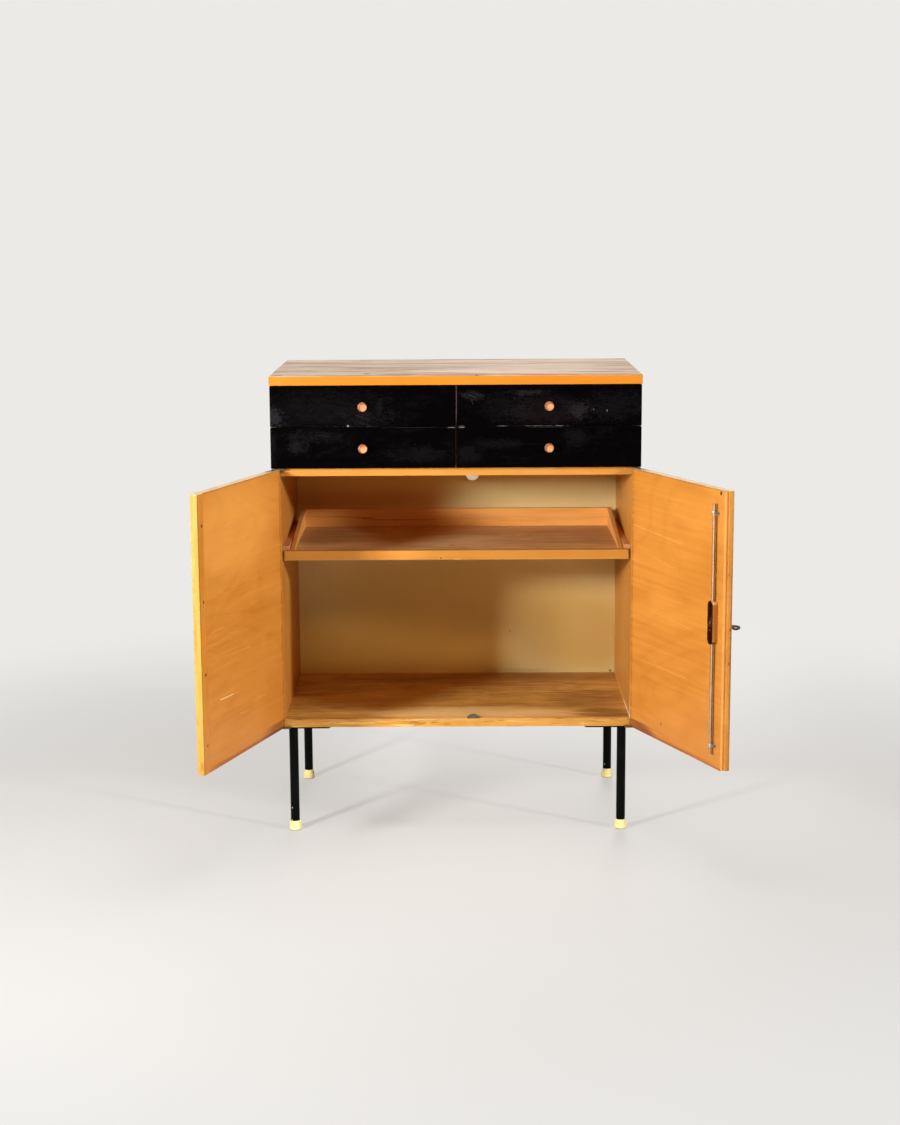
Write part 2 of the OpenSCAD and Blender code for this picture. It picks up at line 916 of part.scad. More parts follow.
module key_escutcheon() {
    color(zinc)
        on_right_door()
            translate([rod_x, front_face_y, lock_z])
                rotate([90, 0, 0])
                    rotate_extrude()
                        polygon([[keyhole_r, 0], [escutcheon_r, 0],
                                 [escutcheon_r, escutcheon_t / 2],
                                 [escutcheon_r - escutcheon_t / 2, escutcheon_t],
                                 [keyhole_r, escutcheon_t]]);
}

// Levels of the two rod guides' middles
guide_levels = [door_bottom + guide_in, door_top - guide_in];

module rod_guides() {
    color(zinc)
        on_right_door()
            for (z = guide_levels)
                difference() {
                    translate([rod_x, rod_y, z - guide_l / 2])
                        linear_extrude(guide_l)
                            guide_outline();
                    at_guide_screws()
                        cylinder(d = guide_screw_d + 0.2, h = 9, center = true, $fn = 32);
                }
}

// A strap over the rod with a foot on each side, seen along the rod
module guide_outline() {
    difference() {
        union() {
            circle(r = bow_r);
            translate([-bow_r, -rod_off])
                square([2 * bow_r, rod_off]);
            translate([-bow_r - guide_foot, -rod_off])
                square([2 * (bow_r + guide_foot), guide_wall]);
        }
        circle(r = rod_d / 2 + rod_fit);
        translate([-rod_d / 2 - rod_fit, -rod_off - 1])
            square([rod_d + 2 * rod_fit, rod_off + 1]);
    }
}

module at_guide_screws() {
    for (z = guide_levels)
        for (side = [-1, 1])
            translate([rod_x + side * guide_screw_x, front_back_y, z])
                rotate([-90, 0, 0])
                    children();
}

module guide_screws() {
    color(brown_steel)
        on_right_door()
            at_guide_screws()
                rotate_extrude($fn = 32)
                    polygon([[0, -8], [guide_screw_d / 2, -7], [guide_screw_d / 2, guide_wall],
                             [guide_screw_d * 0.9, guide_wall], [guide_screw_d * 0.8, guide_wall + 0.9],
                             [1, guide_wall + 1.5], [0, guide_wall + 1.5]]);
}

// Tray

module tray_board() {
    color(tray_wood)
        block([-tray_half, tray_half], [board_front, tray_back], [tray_top - tray_t, tray_top]);
}

module tray_front_strip() {
    strip_z = tray_top + strip_lip - strip_h;
    color(birch_edge)
        block([-strip_half, strip_half], [tray_front, board_front], span(strip_z, strip_h));
}

module tray_back_wall() {
    color(birch)
        block([-tray_wall_out, tray_wall_out], [tray_back - tray_back_t, tray_back],
              span(tray_top, tray_wall_h));
}

// A side that falls from the back wall's height to the strip's
module tray_side() {
    color(birch)
        translate([tray_wall_out, 0, 0])
            rotate([0, -90, 0])
                linear_extrude(tray_side_t)
                    polygon([[tray_top, board_front], [tray_top + strip_lip, board_front],
                             [tray_top + tray_wall_h, tray_back - tray_back_t],
                             [tray_top, tray_back - tray_back_t]]);
}

module tray_right_side() {
    tray_side();
}

module tray_left_side() {
    mirror([1, 0, 0])
        tray_side();
}

// Drawers, each drawn in the right-hand column and mirrored for the left

module in_bay(side, row) {
    mirror([side < 0 ? 1 : 0, 0, 0])
        translate([0, front_y, row_z(row)])
            children();
}

module drawer_front(side, row) {
    color(black_lacquer)
        in_bay(side, row)
            difference() {
                block([front_in, front_out], [-front_gap - front_t, -front_gap], [0, front_h]);
                block([box_in + box_side_t - box_groove, box_out - box_side_t + box_groove],
                      [-front_gap - box_groove - panel_fit, 0],
                      [bottom_up - panel_fit, bottom_up + box_bottom_t + panel_fit]);
                translate([knob_x(), 0, front_h / 2])
                    rotate([90, 0, 0])
                        cylinder(d = knob_screw_d + 0.6, h = front_gap + front_t + 1);
            }
}

// The middle of a front's width
function knob_x() = front_in + front_w / 2;

module drawer_sides(side, row) {
    color(beech)
        in_bay(side, row)
            for (face = [[box_in, 1], [box_out, -1]])
                difference() {
                    block(pair(face, 0, box_side_t), [-front_gap, box_d - front_gap],
                          [box_up, box_up + box_h]);
                    block(pair(face, -1, batten_cut), [batten_set_back - batten_free, box_d],
                          [batten_up - batten_free, batten_up + batten_h + batten_fit]);
                    block(pair(face, box_side_t - box_groove - panel_fit, box_side_t + 1),
                          [-front_gap - 1, box_d],
                          [bottom_up - panel_fit, bottom_up + box_bottom_t + panel_fit]);
                }
}

// Two X values, measured inwards from an outer face, in rising order
function pair(face, a, b) =
    face[1] > 0 ? [face[0] + a, face[0] + b] : [face[0] - b, face[0] - a];

module drawer_back(side, row) {
    far = box_d - front_gap;
    color(beech)
        in_bay(side, row)
            block([box_in + box_side_t, box_out - box_side_t], [far - box_back_t, far],
                  [bottom_up + box_bottom_t + panel_fit, box_up + box_h - box_back_drop]);
}

module drawer_bottom(side, row) {
    grip = box_side_t - box_groove;
    color(tray_wood)
        in_bay(side, row)
            block([box_in + grip, box_out - grip], [-front_gap - box_groove, box_d - front_gap],
                  [bottom_up, bottom_up + box_bottom_t]);
}

// A turned knob with a slightly domed face, and the screw that holds it through the front
module drawer_knob(side, row) {
    r = knob_d / 2;
    bore = knob_screw_d / 2;
    in_bay(side, row)
        translate([knob_x(), -front_gap - front_t, front_h / 2])
            rotate([90, 0, 0]) {
                color(knob_wood)
                    rotate_extrude()
                        difference() {
                            polygon([[0, 0], [r * 0.62, 0], [r * 0.55, 1.5], [r * 0.55, knob_l * 0.3],
                                     [r * 0.72, knob_l * 0.46], [r * 0.95, knob_l * 0.58],
                                     [r, knob_l * 0.68], [r, knob_l * 0.85],
                                     [r * 0.9, knob_l * 0.95], [r * 0.6, knob_l * 0.99],
                                     [0, knob_l]]);
                            translate([-1, -1])
                                square([bore + 1.1, knob_l * 0.6 + 1]);
                        }
                color(zinc)
                    rotate_extrude()
                        polygon([[0, -front_t - 2.6], [bore * 1.3, -front_t - 2.6],
                                 [bore * 2, -front_t - 1], [bore * 2, -front_t], [bore, -front_t],
                                 [bore, knob_l * 0.5], [0, knob_l * 0.55]]);
            }
}

module upper_left_front() { drawer_front(-1, drawer_rows - 1); }
module upper_left_sides() { drawer_sides(-1, drawer_rows - 1); }
module upper_left_back() { drawer_back(-1, drawer_rows - 1); }
module upper_left_bottom() { drawer_bottom(-1, drawer_rows - 1); }
module upper_left_knob() { drawer_knob(-1, drawer_rows - 1); }
module upper_right_front() { drawer_front(1, drawer_rows - 1); }
module upper_right_sides() { drawer_sides(1, drawer_rows - 1); }
module upper_right_back() { drawer_back(1, drawer_rows - 1); }
module upper_right_bottom() { drawer_bottom(1, drawer_rows - 1); }
module upper_right_knob() { drawer_knob(1, drawer_rows - 1); }
module lower_left_front() { drawer_front(-1, 0); }
module lower_left_sides() { drawer_sides(-1, 0); }
module lower_left_back() { drawer_back(-1, 0); }
module lower_left_bottom() { drawer_bottom(-1, 0); }
module lower_left_knob() { drawer_knob(-1, 0); }
module lower_right_front() { drawer_front(1, 0); }
module lower_right_sides() { drawer_sides(1, 0); }
module lower_right_back() { drawer_back(1, 0); }
module lower_right_bottom() { drawer_bottom(1, 0); }
module lower_right_knob() { drawer_knob(1, 0); }

top_panel();
left_side_panel();
right_side_panel();
bottom_panel();
dust_panel();
back_panel();
centre_divider();
drawer_runners();
tray_runners();
hinge_arms();
door_keepers();
corner_plates();
front_left_leg();
front_right_leg();
rear_left_leg();
rear_right_leg();
front_left_ferrule();
front_right_ferrule();
rear_left_ferrule();
rear_right_ferrule();
plate_screws();
left_door_panel();
left_meeting_strip();
left_hinge_leaves();
right_door_panel();
right_hinge_leaves();
lock_case();
rod_guides();
guide_screws();
key_escutcheon();
upper_rod();
lower_rod();
lock_pinion();
key();
tray_board();
tray_front_strip();
tray_back_wall();
tray_left_side();
tray_right_side();
upper_left_front();
upper_left_sides();
upper_left_back();
upper_left_bottom();
upper_left_knob();
upper_right_front();
upper_right_sides();
upper_right_back();
upper_right_bottom();
upper_right_knob();
lower_left_front();
lower_left_sides();
lower_left_back();
lower_left_bottom();
lower_left_knob();
lower_right_front();
lower_right_sides();
lower_right_back();
lower_right_bottom();
lower_right_knob();
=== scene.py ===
"""High sideboard on steel legs: its finishes and small fittings, the studio and the camera."""

import json
import logging
import math
from dataclasses import dataclass
from enum import Enum

import bmesh
import bpy
from mathutils import Matrix, Vector


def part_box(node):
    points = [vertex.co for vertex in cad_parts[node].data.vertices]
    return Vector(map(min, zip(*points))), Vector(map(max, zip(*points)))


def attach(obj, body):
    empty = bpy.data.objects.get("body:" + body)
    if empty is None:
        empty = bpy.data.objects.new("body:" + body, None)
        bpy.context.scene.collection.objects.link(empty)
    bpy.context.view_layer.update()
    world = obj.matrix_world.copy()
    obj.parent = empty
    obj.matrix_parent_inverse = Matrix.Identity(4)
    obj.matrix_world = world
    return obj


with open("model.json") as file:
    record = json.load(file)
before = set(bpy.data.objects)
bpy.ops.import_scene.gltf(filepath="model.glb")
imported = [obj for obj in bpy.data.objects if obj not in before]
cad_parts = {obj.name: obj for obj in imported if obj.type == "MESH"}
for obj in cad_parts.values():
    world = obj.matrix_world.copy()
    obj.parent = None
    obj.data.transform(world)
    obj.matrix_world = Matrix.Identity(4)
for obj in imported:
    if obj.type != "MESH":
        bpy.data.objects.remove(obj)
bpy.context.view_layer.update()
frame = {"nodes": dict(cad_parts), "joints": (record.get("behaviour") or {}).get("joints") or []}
MM = 0.001
EASE_STEPS = 3
SHARP = math.radians(35)
WELD_REACH = 0.01 * MM
# The Y of the closed doors' inner faces.
INNER_FACE = -224.0 * MM
BIRCH_PALE, BIRCH_DARK = (220, 148, 64), (190, 118, 40)
SIDE_PALE, SIDE_DARK = (206, 144, 66), (174, 112, 40)
EDGE_PALE, EDGE_DARK = (212, 148, 66), (190, 122, 42)
BEECH_PALE, BEECH_DARK = (222, 166, 108), (186, 120, 66)
HAIR_LINE, PALE_LINE = (120, 66, 26), (250, 196, 116)
log = logging.getLogger("sideboard")

Tone = tuple[int, int, int]
Pair = tuple[float, float]


def paint(red: int, green: int, blue: int) -> tuple[float, float, float, float]:
    """Turns a tone, red, green and blue as a screen shows them, into a linear colour with alpha 1."""
    parts = (red / 255, green / 255, blue / 255)
    return (*(p / 12.92 if p <= 0.04045 else ((p + 0.055) / 1.055) ** 2.4 for p in parts), 1.0)


class Axis(Enum):
    """An axis of a piece, such as the one that its grain follows."""

    X = 0
    Y = 1
    Z = 2

    def stretch(self, along: float, across: float) -> tuple[float, ...]:
        """Scales that draw a noise out along this axis."""
        return tuple(along if i == self.value else across for i in range(3))


class Face(Enum):
    """A face's two axes, and then the axis that it looks along."""

    UPRIGHT = (0, 2, 1)
    LEVEL = (0, 1, 2)
    FLANK = (1, 2, 0)


@dataclass(frozen=True)
class Place:
    """How a piece's own axes lie in the room: a door's own axes are those of the closed door.

    Args:
        pivot: The hinge line's X and Y.
        turn: How far the piece stands swung from its own axes, in radians.
    """

    pivot: Pair = (0.0, 0.0)
    turn: float = 0.0

    @property
    def matrix(self) -> Matrix:
        """Leads from the piece's own axes to the room's."""
        shift = Matrix.Translation((*self.pivot, 0.0))
        return shift @ Matrix.Rotation(self.turn, 4, "Z") @ shift.inverted()

    @classmethod
    def of_hinge(cls, name: str) -> "Place":
        """Reads a door's place from its joint, whose lowest value is the closed door.

        Args:
            name: The joint's name.

        Returns:
            The door's place at rest.
        """
        joint = next(j for j in frame["joints"] if j["name"] == name)
        swing = -math.radians(joint["range_deg"][0]) * joint["axis"][2]
        return cls(tuple(joint["pos_m"][:2]), swing)


HOME = Place()


class Wire:
    """A value between two nodes. Sums on it add Math nodes."""

    def __init__(self, board: "Board", socket: bpy.types.NodeSocket) -> None:
        """Wraps an output socket of the board's nodes."""
        self.board = board
        self.socket = socket

    def sum(self, operation: str, *values: "Wire | float") -> "Wire":
        """The result of a Math node that has these values in its sockets, in order."""
        return self.board.add("ShaderNodeMath", {"operation": operation}, dict(enumerate(values)))

    def __add__(self, other: "Wire | float") -> "Wire":
        """This value plus another."""
        return self.sum("ADD", self, other)

    def __sub__(self, other: "Wire | float") -> "Wire":
        """This value less another."""
        return self.sum("SUBTRACT", self, other)

    def __rsub__(self, other: float) -> "Wire":
        """A number less this value."""
        return self.sum("SUBTRACT", other, self)

    def __mul__(self, other: "Wire | float") -> "Wire":
        """This value times another."""
        return self.sum("MULTIPLY", self, other)

    def least(self, other: "Wire | float") -> "Wire":
        """The lower of this value and another."""
        return self.sum("MINIMUM", self, other)

    def most(self, other: "Wire | float") -> "Wire":
        """The higher of this value and another."""
        return self.sum("MAXIMUM", self, other)

    def held(self) -> "Wire":
        """This value kept from 0 to 1."""
        return self.least(1.0).most(0.0)

    def wave(self, pace: float) -> "Wire":
        """The sine of this value times a pace."""
        return self.sum("SINE", self * pace)


class Board:
    """The nodes of a finish, of the floor or of the world."""

    def __init__(self, tree: bpy.types.NodeTree) -> None:
        """Clears the tree to start with."""
        self.tree = tree
        tree.nodes.clear()

    @staticmethod
    def _pick(sockets: bpy.types.bpy_prop_collection, key: "str | int") -> bpy.types.NodeSocket:
        """Finds the first of some sockets that has this number, identifier or name."""
        if isinstance(key, int):
            return sockets[key]
        return next(s for s in sockets if key in (s.identifier, s.name))

    def add(
        self, kind: str, settings: dict | None = None, sockets: dict | None = None,
        output: "str | int" = 0,
    ) -> Wire | None:
        """Adds any node.

        Args:
            kind: The node's type.
            settings: Its properties, which are set first.
            sockets: Values or wires for its inputs.
            output: The output to go on with.

        Returns:
            That output, or None from a node that ends the tree.
        """
        node = self.tree.nodes.new(kind)
        for key, value in (settings or {}).items():
            setattr(node, key, value)
        for key, value in (sockets or {}).items():
            socket = self._pick(node.inputs, key)
            if isinstance(value, Wire):
                self.tree.links.new(value.socket, socket)
            else:
                socket.default_value = value
        return Wire(self, self._pick(node.outputs, output)) if node.outputs else None

    def moved(self, vector: Wire, shift: tuple[float, float, float]) -> Wire:
        """A vector moved by a fixed one."""
        return self.add("ShaderNodeVectorMath", {"operation": "ADD"}, {0: vector, 1: shift})

    def rise(self, value: Wire, low: float, high: float) -> Wire:
        """A soft step from 0 at low to 1 at high."""
        return self.add("ShaderNodeMapRange", {"interpolation_type": "SMOOTHSTEP"},
                        {"Value": value, "From Min": low, "From Max": high})

    def within(self, value: Wire, low: float, high: float, soft: float = 0.2 * MM) -> Wire:
        """1 where the value is between two limits, with soft ends."""
        past = self.rise(value, high - soft, high + soft)
        return self.rise(value, low - soft, low + soft) * (1 - past)

    def mix(self, share: "Wire | float", base: "Wire | Tone", other: "Wire | Tone") -> Wire:
        """A base colour and a share of another one."""
        base, other = (c if isinstance(c, Wire) else paint(*c) for c in (base, other))
        return self.add("ShaderNodeMix", {"data_type": "RGBA", "clamp_factor": True},
                        {"Factor_Float": share, "A_Color": base, "B_Color": other}, "Result_Color")


class Coat(Board):
    """A material's nodes: here is the point that noises are taken at, axes are its X, Y and Z."""

    def __init__(self, name: str, place: Place = HOME) -> None:
        """Starts a material.

        Args:
            name: The material's name.
            place: How the piece stands, so that here lies on the piece's own axes, in metres.
        """
        self.material = bpy.data.materials.new(name)
        self.material.use_nodes = True
        super().__init__(self.material.node_tree)
        self.here = self.add("ShaderNodeTexCoord", output="Object")
        if place.turn:
            back = place.matrix.inverted().translation
            self.here = self.add("ShaderNodeMapping", {}, {
                "Vector": self.here, "Location": back, "Rotation": (0.0, 0.0, -place.turn)})
        parts = self.add("ShaderNodeSeparateXYZ", {}, {"Vector": self.here})
        self.axes = [Wire(self, socket) for socket in parts.socket.node.outputs]

    def noise(
        self, scale: tuple[float, ...], detail: float = 2.0, rough: float = 0.5, twist: float = 0.0,
        at: Wire | None = None,
    ) -> Wire:
        """Noise about 0, mostly from -0.25 to 0.25.

        Args:
            scale: Features a metre on each axis.
            detail: How many finer layers it has.
            rough: How strong the finer layers are.
            twist: How much it is distorted.
            at: Where to take it, unless it is here.

        Returns:
            The noise.
        """
        drawn = self.add("ShaderNodeVectorMath", {"operation": "MULTIPLY"},
                         {0: at or self.here, 1: scale})
        sockets = {"Vector": drawn, "Scale": 1.0, "Detail": detail, "Roughness": rough,
                   "Distortion": twist}
        return self.add("ShaderNodeTexNoise", {}, sockets, "Fac") - 0.5

    def tint(
        self, colour: "Wire | Tone", share: float, other: "Wire | Tone", noise: Wire, low: float,
        high: float,
    ) -> Wire:
        """A colour with up to a share of another one where a noise rises from low to high."""
        return self.mix(self.rise(noise, low, high) * share, colour, other)

    def surface(
        self, colour: Wire, rough: Wire, height: Wire, deep: float, **sockets: "Wire | float",
    ) -> None:
        """Ends the material in a shader.

        Args:
            colour: The colour.
            rough: The roughness, which is kept from 0 to 1.
            height: The relief.
            deep: How deep the relief is, in metres, where its height changes by 1.
            sockets: The shader's other inputs, with _ for a space in their names.
        """
        relief = self.add("ShaderNodeBump", {}, {"Strength": 1.0, "Distance": deep, "Height": height})
        named = {key.replace("_", " "): value for key, value in sockets.items()}
        shader = self.add("ShaderNodeBsdfPrincipled", {}, {
            "Base Color": colour, "Roughness": rough.held(), "Normal": relief, **named})
        self.add("ShaderNodeOutputMaterial", {}, {"Surface": shader})


@dataclass(frozen=True)
class Spot:
    """A stain, rub, dot, painted shade or painted highlight on a face.

    Args:
        centre: Its middle on the face's two axes.
        reach: Its half widths on them.
        colour: Its colour.
        strength: How much it covers.
        soft: The share of it that fades out.
        ragged: How much noise breaks it up.
    """

    centre: Pair
    reach: Pair
    colour: Tone
    strength: float = 0.6
    soft: float = 0.9
    ragged: float = 0.0

    def cover(self, board: Board, across: Wire, up: Wire, grit: Wire) -> Wire:
        """Where the spot shows.

        Args:
            board: The finish's nodes.
            across: The first axis of the face.
            up: Its second axis.
            grit: Noise that frays the spot.

        Returns:
            A mask.
        """
        wide = (across - self.centre[0]) * (1 / self.reach[0])
        high = (up - self.centre[1]) * (1 / self.reach[1])
        far = wide * wide + high * high + grit * self.ragged
        return (1 - board.rise(far, 1 - self.soft, 1.0)) * self.strength


@dataclass(frozen=True)
class Scratch:
    """A scratch or fine line on a face.

    Args:
        start: One end on the face's two axes.
        end: The other end.
        width: Its full width in metres.
        colour: Its colour.
        strength: How much it covers.
    """

    start: Pair
    end: Pair
    width: float
    colour: Tone
    strength: float = 0.6

    def cover(self, board: Board, across: Wire, up: Wire, grit: Wire) -> Wire:
        """Where the scratch shows.

        Args:
            board: The finish's nodes.
            across: The first axis of the face.
            up: Its second axis.
            grit: Noise that bends the scratch a little.

        Returns:
            A mask.
        """
        run = (self.end[0] - self.start[0], self.end[1] - self.start[1])
        square = run[0] ** 2 + run[1] ** 2
        wide = across - self.start[0]
        high = up - self.start[1] + grit * (self.width * 3)
        share = (wide * (run[0] / square) + high * (run[1] / square)).held()
        wide, high = wide - share * run[0], high - share * run[1]
        far = wide * wide + high * high
        return (1 - board.rise(far, 0.0, (self.width / 2) ** 2)) * self.strength


Mark = Spot | Scratch


@dataclass(frozen=True)
class Wear:
    """The marks on one face of a piece.

    Args:
        face: The way the face looks.
        low: Its lowest level on the axis that it looks along.
        high: Its highest level.
        marks: What has happened to it, and painted shade and light on it.
    """

    face: Face
    low: float
    high: float
    marks: tuple[Mark, ...]

    @classmethod
    def at(cls, face: Face, level: float, marks: tuple[Mark, ...], near: float = MM) -> "Wear":
        """The marks on the face at a level and a little above and below it."""
        return cls(face, level - near, level + near, marks)

    def lay(self, coat: Coat, grit: Wire, colour: Wire) -> Wire:
        """Lays the marks over a colour.

        Args:
            coat: The finish's nodes.
            grit: Noise that frays the marks.
            colour: The colour under them.

        Returns:
            The colour with its marks.
        """
        across, up, level = (coat.axes[i] for i in self.face.value)
        here = coat.within(level, self.low, self.high)
        for mark in self.marks:
            colour = coat.mix(mark.cover(coat, across, up, grit) * here, colour, mark.colour)
        return colour


@dataclass(frozen=True)
class Band:
    """A lipping or an end of a board that has a wood of its own, or a band of painted light.

    Args:
        axis: The axis that it lies across.
        low: Where it begins on it.
        high: Where it ends.
        pale: The wood's light tone.
        dark: The wood's dark tone.
    """

    axis: Axis
    low: float
    high: float
    pale: Tone
    dark: Tone


@dataclass(frozen=True)
class Patina:
    """Dirt or bleached wear that lies in patches along the grain.

    Args:
        colour: Its colour.
        amount: How much it covers at most.
        scale: Patches a metre along the grain and across it.
        low: The noise at which it begins.
        high: The noise at which it is full.
        shift: A number that gives it a place of its own.
    """

    colour: Tone
    amount: float
    scale: Pair = (3.2, 13.0)
    low: float = 0.0
    high: float = 0.22
    shift: float = 0.0


@dataclass(frozen=True)
class Finish:
    """What a piece is dressed in. Its place is HOME, unless the kind of finish has a field for it.

    Args:
        name: The finish's name.
    """

    name: str
    place = HOME

    def material(self) -> bpy.types.Material:
        """Builds the finish's material and returns it."""
        coat = Coat(self.name, self.place)
        self.lay(coat)
        return coat.material

    def lay(self, coat: Coat) -> None:
        """Lays the finish out on a coat's nodes, as each kind of finish does in its own way."""
        raise NotImplementedError


@dataclass(frozen=True)
class Wood(Finish):
    """Veneer or solid wood with figure, fibres and marks.

    Args:
        name: The finish's name.
        pale: Its light tone.
        dark: Its dark tone.
        grain: The axis that the fibres follow.
        place: How the piece stands.
        shift: A number that gives each board a figure of its own.
        contrast: How strong the figure is.
        figure: How strongly the annual rings draw their lines.
        patina: Dirt and bleached wear on it.
        shine: The roughness of its surface.
        bands: Lippings on it, and bands of painted light.
        wear: Marks on its faces.
    """

    pale: Tone
    dark: Tone
    grain: Axis = Axis.X
    place: Place = HOME
    shift: float = 0.0
    contrast: float = 1.0
    figure: float = 0.10
    patina: tuple[Patina, ...] = ()
    shine: float = 0.42
    bands: tuple[Band, ...] = ()
    wear: tuple[Wear, ...] = ()

    def lay(self, coat: Coat) -> None:
        """Lays out the figure and the fibres, then the lippings, the patina and the marks.

        Args:
            coat: The finish's nodes.
        """
        grain = self.grain.stretch
        coat.here = coat.moved(coat.here, (self.shift, self.shift * 1.7, self.shift * 0.6))
        clouds = coat.noise(grain(1.7, 7.0), 3.0, 0.55)
        sheen = coat.noise(grain(9.0, 16.0), 2.0, 0.5, 0.8)
        streaks = coat.noise(grain(2.4, 95.0), 4.0, 0.62, 0.3)
        fibres = coat.noise(grain(26.0, 1100.0))
        line = coat.noise(grain(1.5, 4.2), 1.5, 0.4, 0.5).wave(85.0) * 0.5 + 0.5
        line = line * line * line * line
        tone = clouds * 1.1 + sheen * 0.6 + streaks * 0.8 + fibres * 0.35 - line * self.figure
        tone = (tone * self.contrast + 0.5).held()
        colour = coat.mix(tone, self.dark, self.pale)
        for band in self.bands:
            shown = coat.within(coat.axes[band.axis.value], band.low, band.high)
            colour = coat.mix(shown, colour, coat.mix(tone, band.dark, band.pale))
        rough = streaks * 0.25 + fibres * 0.1 + self.shine
        for layer in self.patina:
            at = coat.moved(coat.here, (layer.shift,) * 3)
            patch = coat.noise(grain(*layer.scale), 6.0, 0.7, 0.6, at)
            patch = coat.rise(patch, layer.low, layer.high) * layer.amount
            colour = coat.mix(patch, colour, layer.colour)
            rough = rough + patch * 0.2
        for wear in self.wear:
            colour = wear.lay(coat, streaks, colour)
        height = streaks + fibres * 0.8 - line * 0.15
        coat.surface(colour, rough, height, 0.35 * MM, Specular_IOR_Level=0.2)


@dataclass(frozen=True)
class WornTop(Finish):
    """The top panel: a greyed and scuffed upper face with lippings round it.

    Args:
        name: The finish's name.
        level: The height of the upper face.
        front: The Y of the front lipping.
    """

    level: float
    front: float

    def _marks(self) -> tuple[Mark, ...]:
        """Lists the burns, stains and scratches on the upper face.

        Returns:
            The marks on its X and Y.
        """
        dark, pale = (96, 62, 44), (250, 236, 220)
        return (
            Spot((0.045, -0.2340), (0.0040, 0.0160), (40, 24, 16), 0.95, 0.5),
            Spot((-0.192, -0.190), (0.010, 0.018), dark, 0.7, 0.9, 1.2),
            Spot((0.24, -0.222), (0.16, 0.018), (170, 98, 66), 0.7, 0.95, 2.5),
            Spot((-0.385, -0.222), (0.022, 0.016), (112, 82, 60), 0.7, 0.9, 2.0),
            Spot((-0.30, -0.05), (0.09, 0.05), (206, 192, 146), 0.4, 0.95, 2.0),
            Spot((0.22, 0.02), (0.13, 0.05), (236, 216, 196), 0.35, 0.9, 2.0),
            Spot((-0.27, 0.09), (0.09, 0.05), (160, 122, 98), 0.35, 0.9, 2.0),
            Scratch((-0.31, -0.10), (-0.12, -0.085), 2.0 * MM, dark, 0.45),
            Scratch((0.10, -0.19), (0.29, -0.168), 1.8 * MM, pale, 0.6),
            Scratch((0.02, 0.09), (0.18, 0.12), 2.0 * MM, dark, 0.45),
            Scratch((-0.20, 0.16), (0.02, 0.15), 1.6 * MM, pale, 0.5),
        )

    def lay(self, coat: Coat) -> None:
        """Lays out the bleached upper face, its dirty front rim, its marks and the lippings.

        Args:
            coat: The finish's nodes.
        """
        clouds = coat.noise((2.1, 9.0, 1.0), 4.0, 0.6, 0.4)
        blush = coat.noise((3.1, 15.0, 1.0), 4.0, 0.65, 0.8)
        runs = coat.noise((2.6, 27.0, 1.0), 5.0, 0.7, 0.5)
        streaks = coat.noise((3.0, 62.0, 62.0), 5.0, 0.66, 0.5)
        fibres = coat.noise((30.0, 900.0, 900.0))
        scuffs = coat.noise((11.0, 70.0, 1.0), 4.0, 0.65, 1.2)
        tone = (clouds + runs * 3.0 + streaks * 1.4 + fibres * 0.3 + 0.5).held()
        top = coat.mix(tone, (126, 96, 76), (228, 207, 187))
        top = coat.tint(top, 0.5, (206, 152, 128), blush, 0.02, 0.22)
        top = coat.tint(top, 0.4, (196, 184, 146), blush, -0.02, -0.22)
        top = coat.tint(top, 0.6, (246, 232, 216), scuffs, 0.12, 0.26)
        top = coat.tint(top, 0.5, (122, 84, 60), runs, 0.08, 0.24)
        behind = coat.axes[1] - self.front + clouds * 0.01
        rim = coat.within(behind, 1.0 * MM, 20.0 * MM, 4.0 * MM) * coat.rise(scuffs + clouds, -0.2, 0.12)
        top = coat.mix(rim * 0.75, top, (104, 60, 38))
        edge = coat.mix((clouds + streaks * 0.8 + fibres * 0.4 + 0.5).held(),
                        (198, 110, 22), (214, 136, 36))
        upper = coat.rise(coat.axes[2], self.level - 0.9 * MM, self.level - 0.4 * MM)
        wear = Wear(Face.LEVEL, self.level - 0.6 * MM, self.level + MM, self._marks())
        colour = wear.lay(coat, streaks, coat.mix(upper, edge, top))
        rough = upper * 0.22 + streaks * 0.3 + 0.38
        height = streaks * (upper + 0.5) + fibres * 0.8 + scuffs * upper * 0.5
        coat.surface(colour, rough, height, 0.4 * MM, Specular_IOR_Level=0.2)


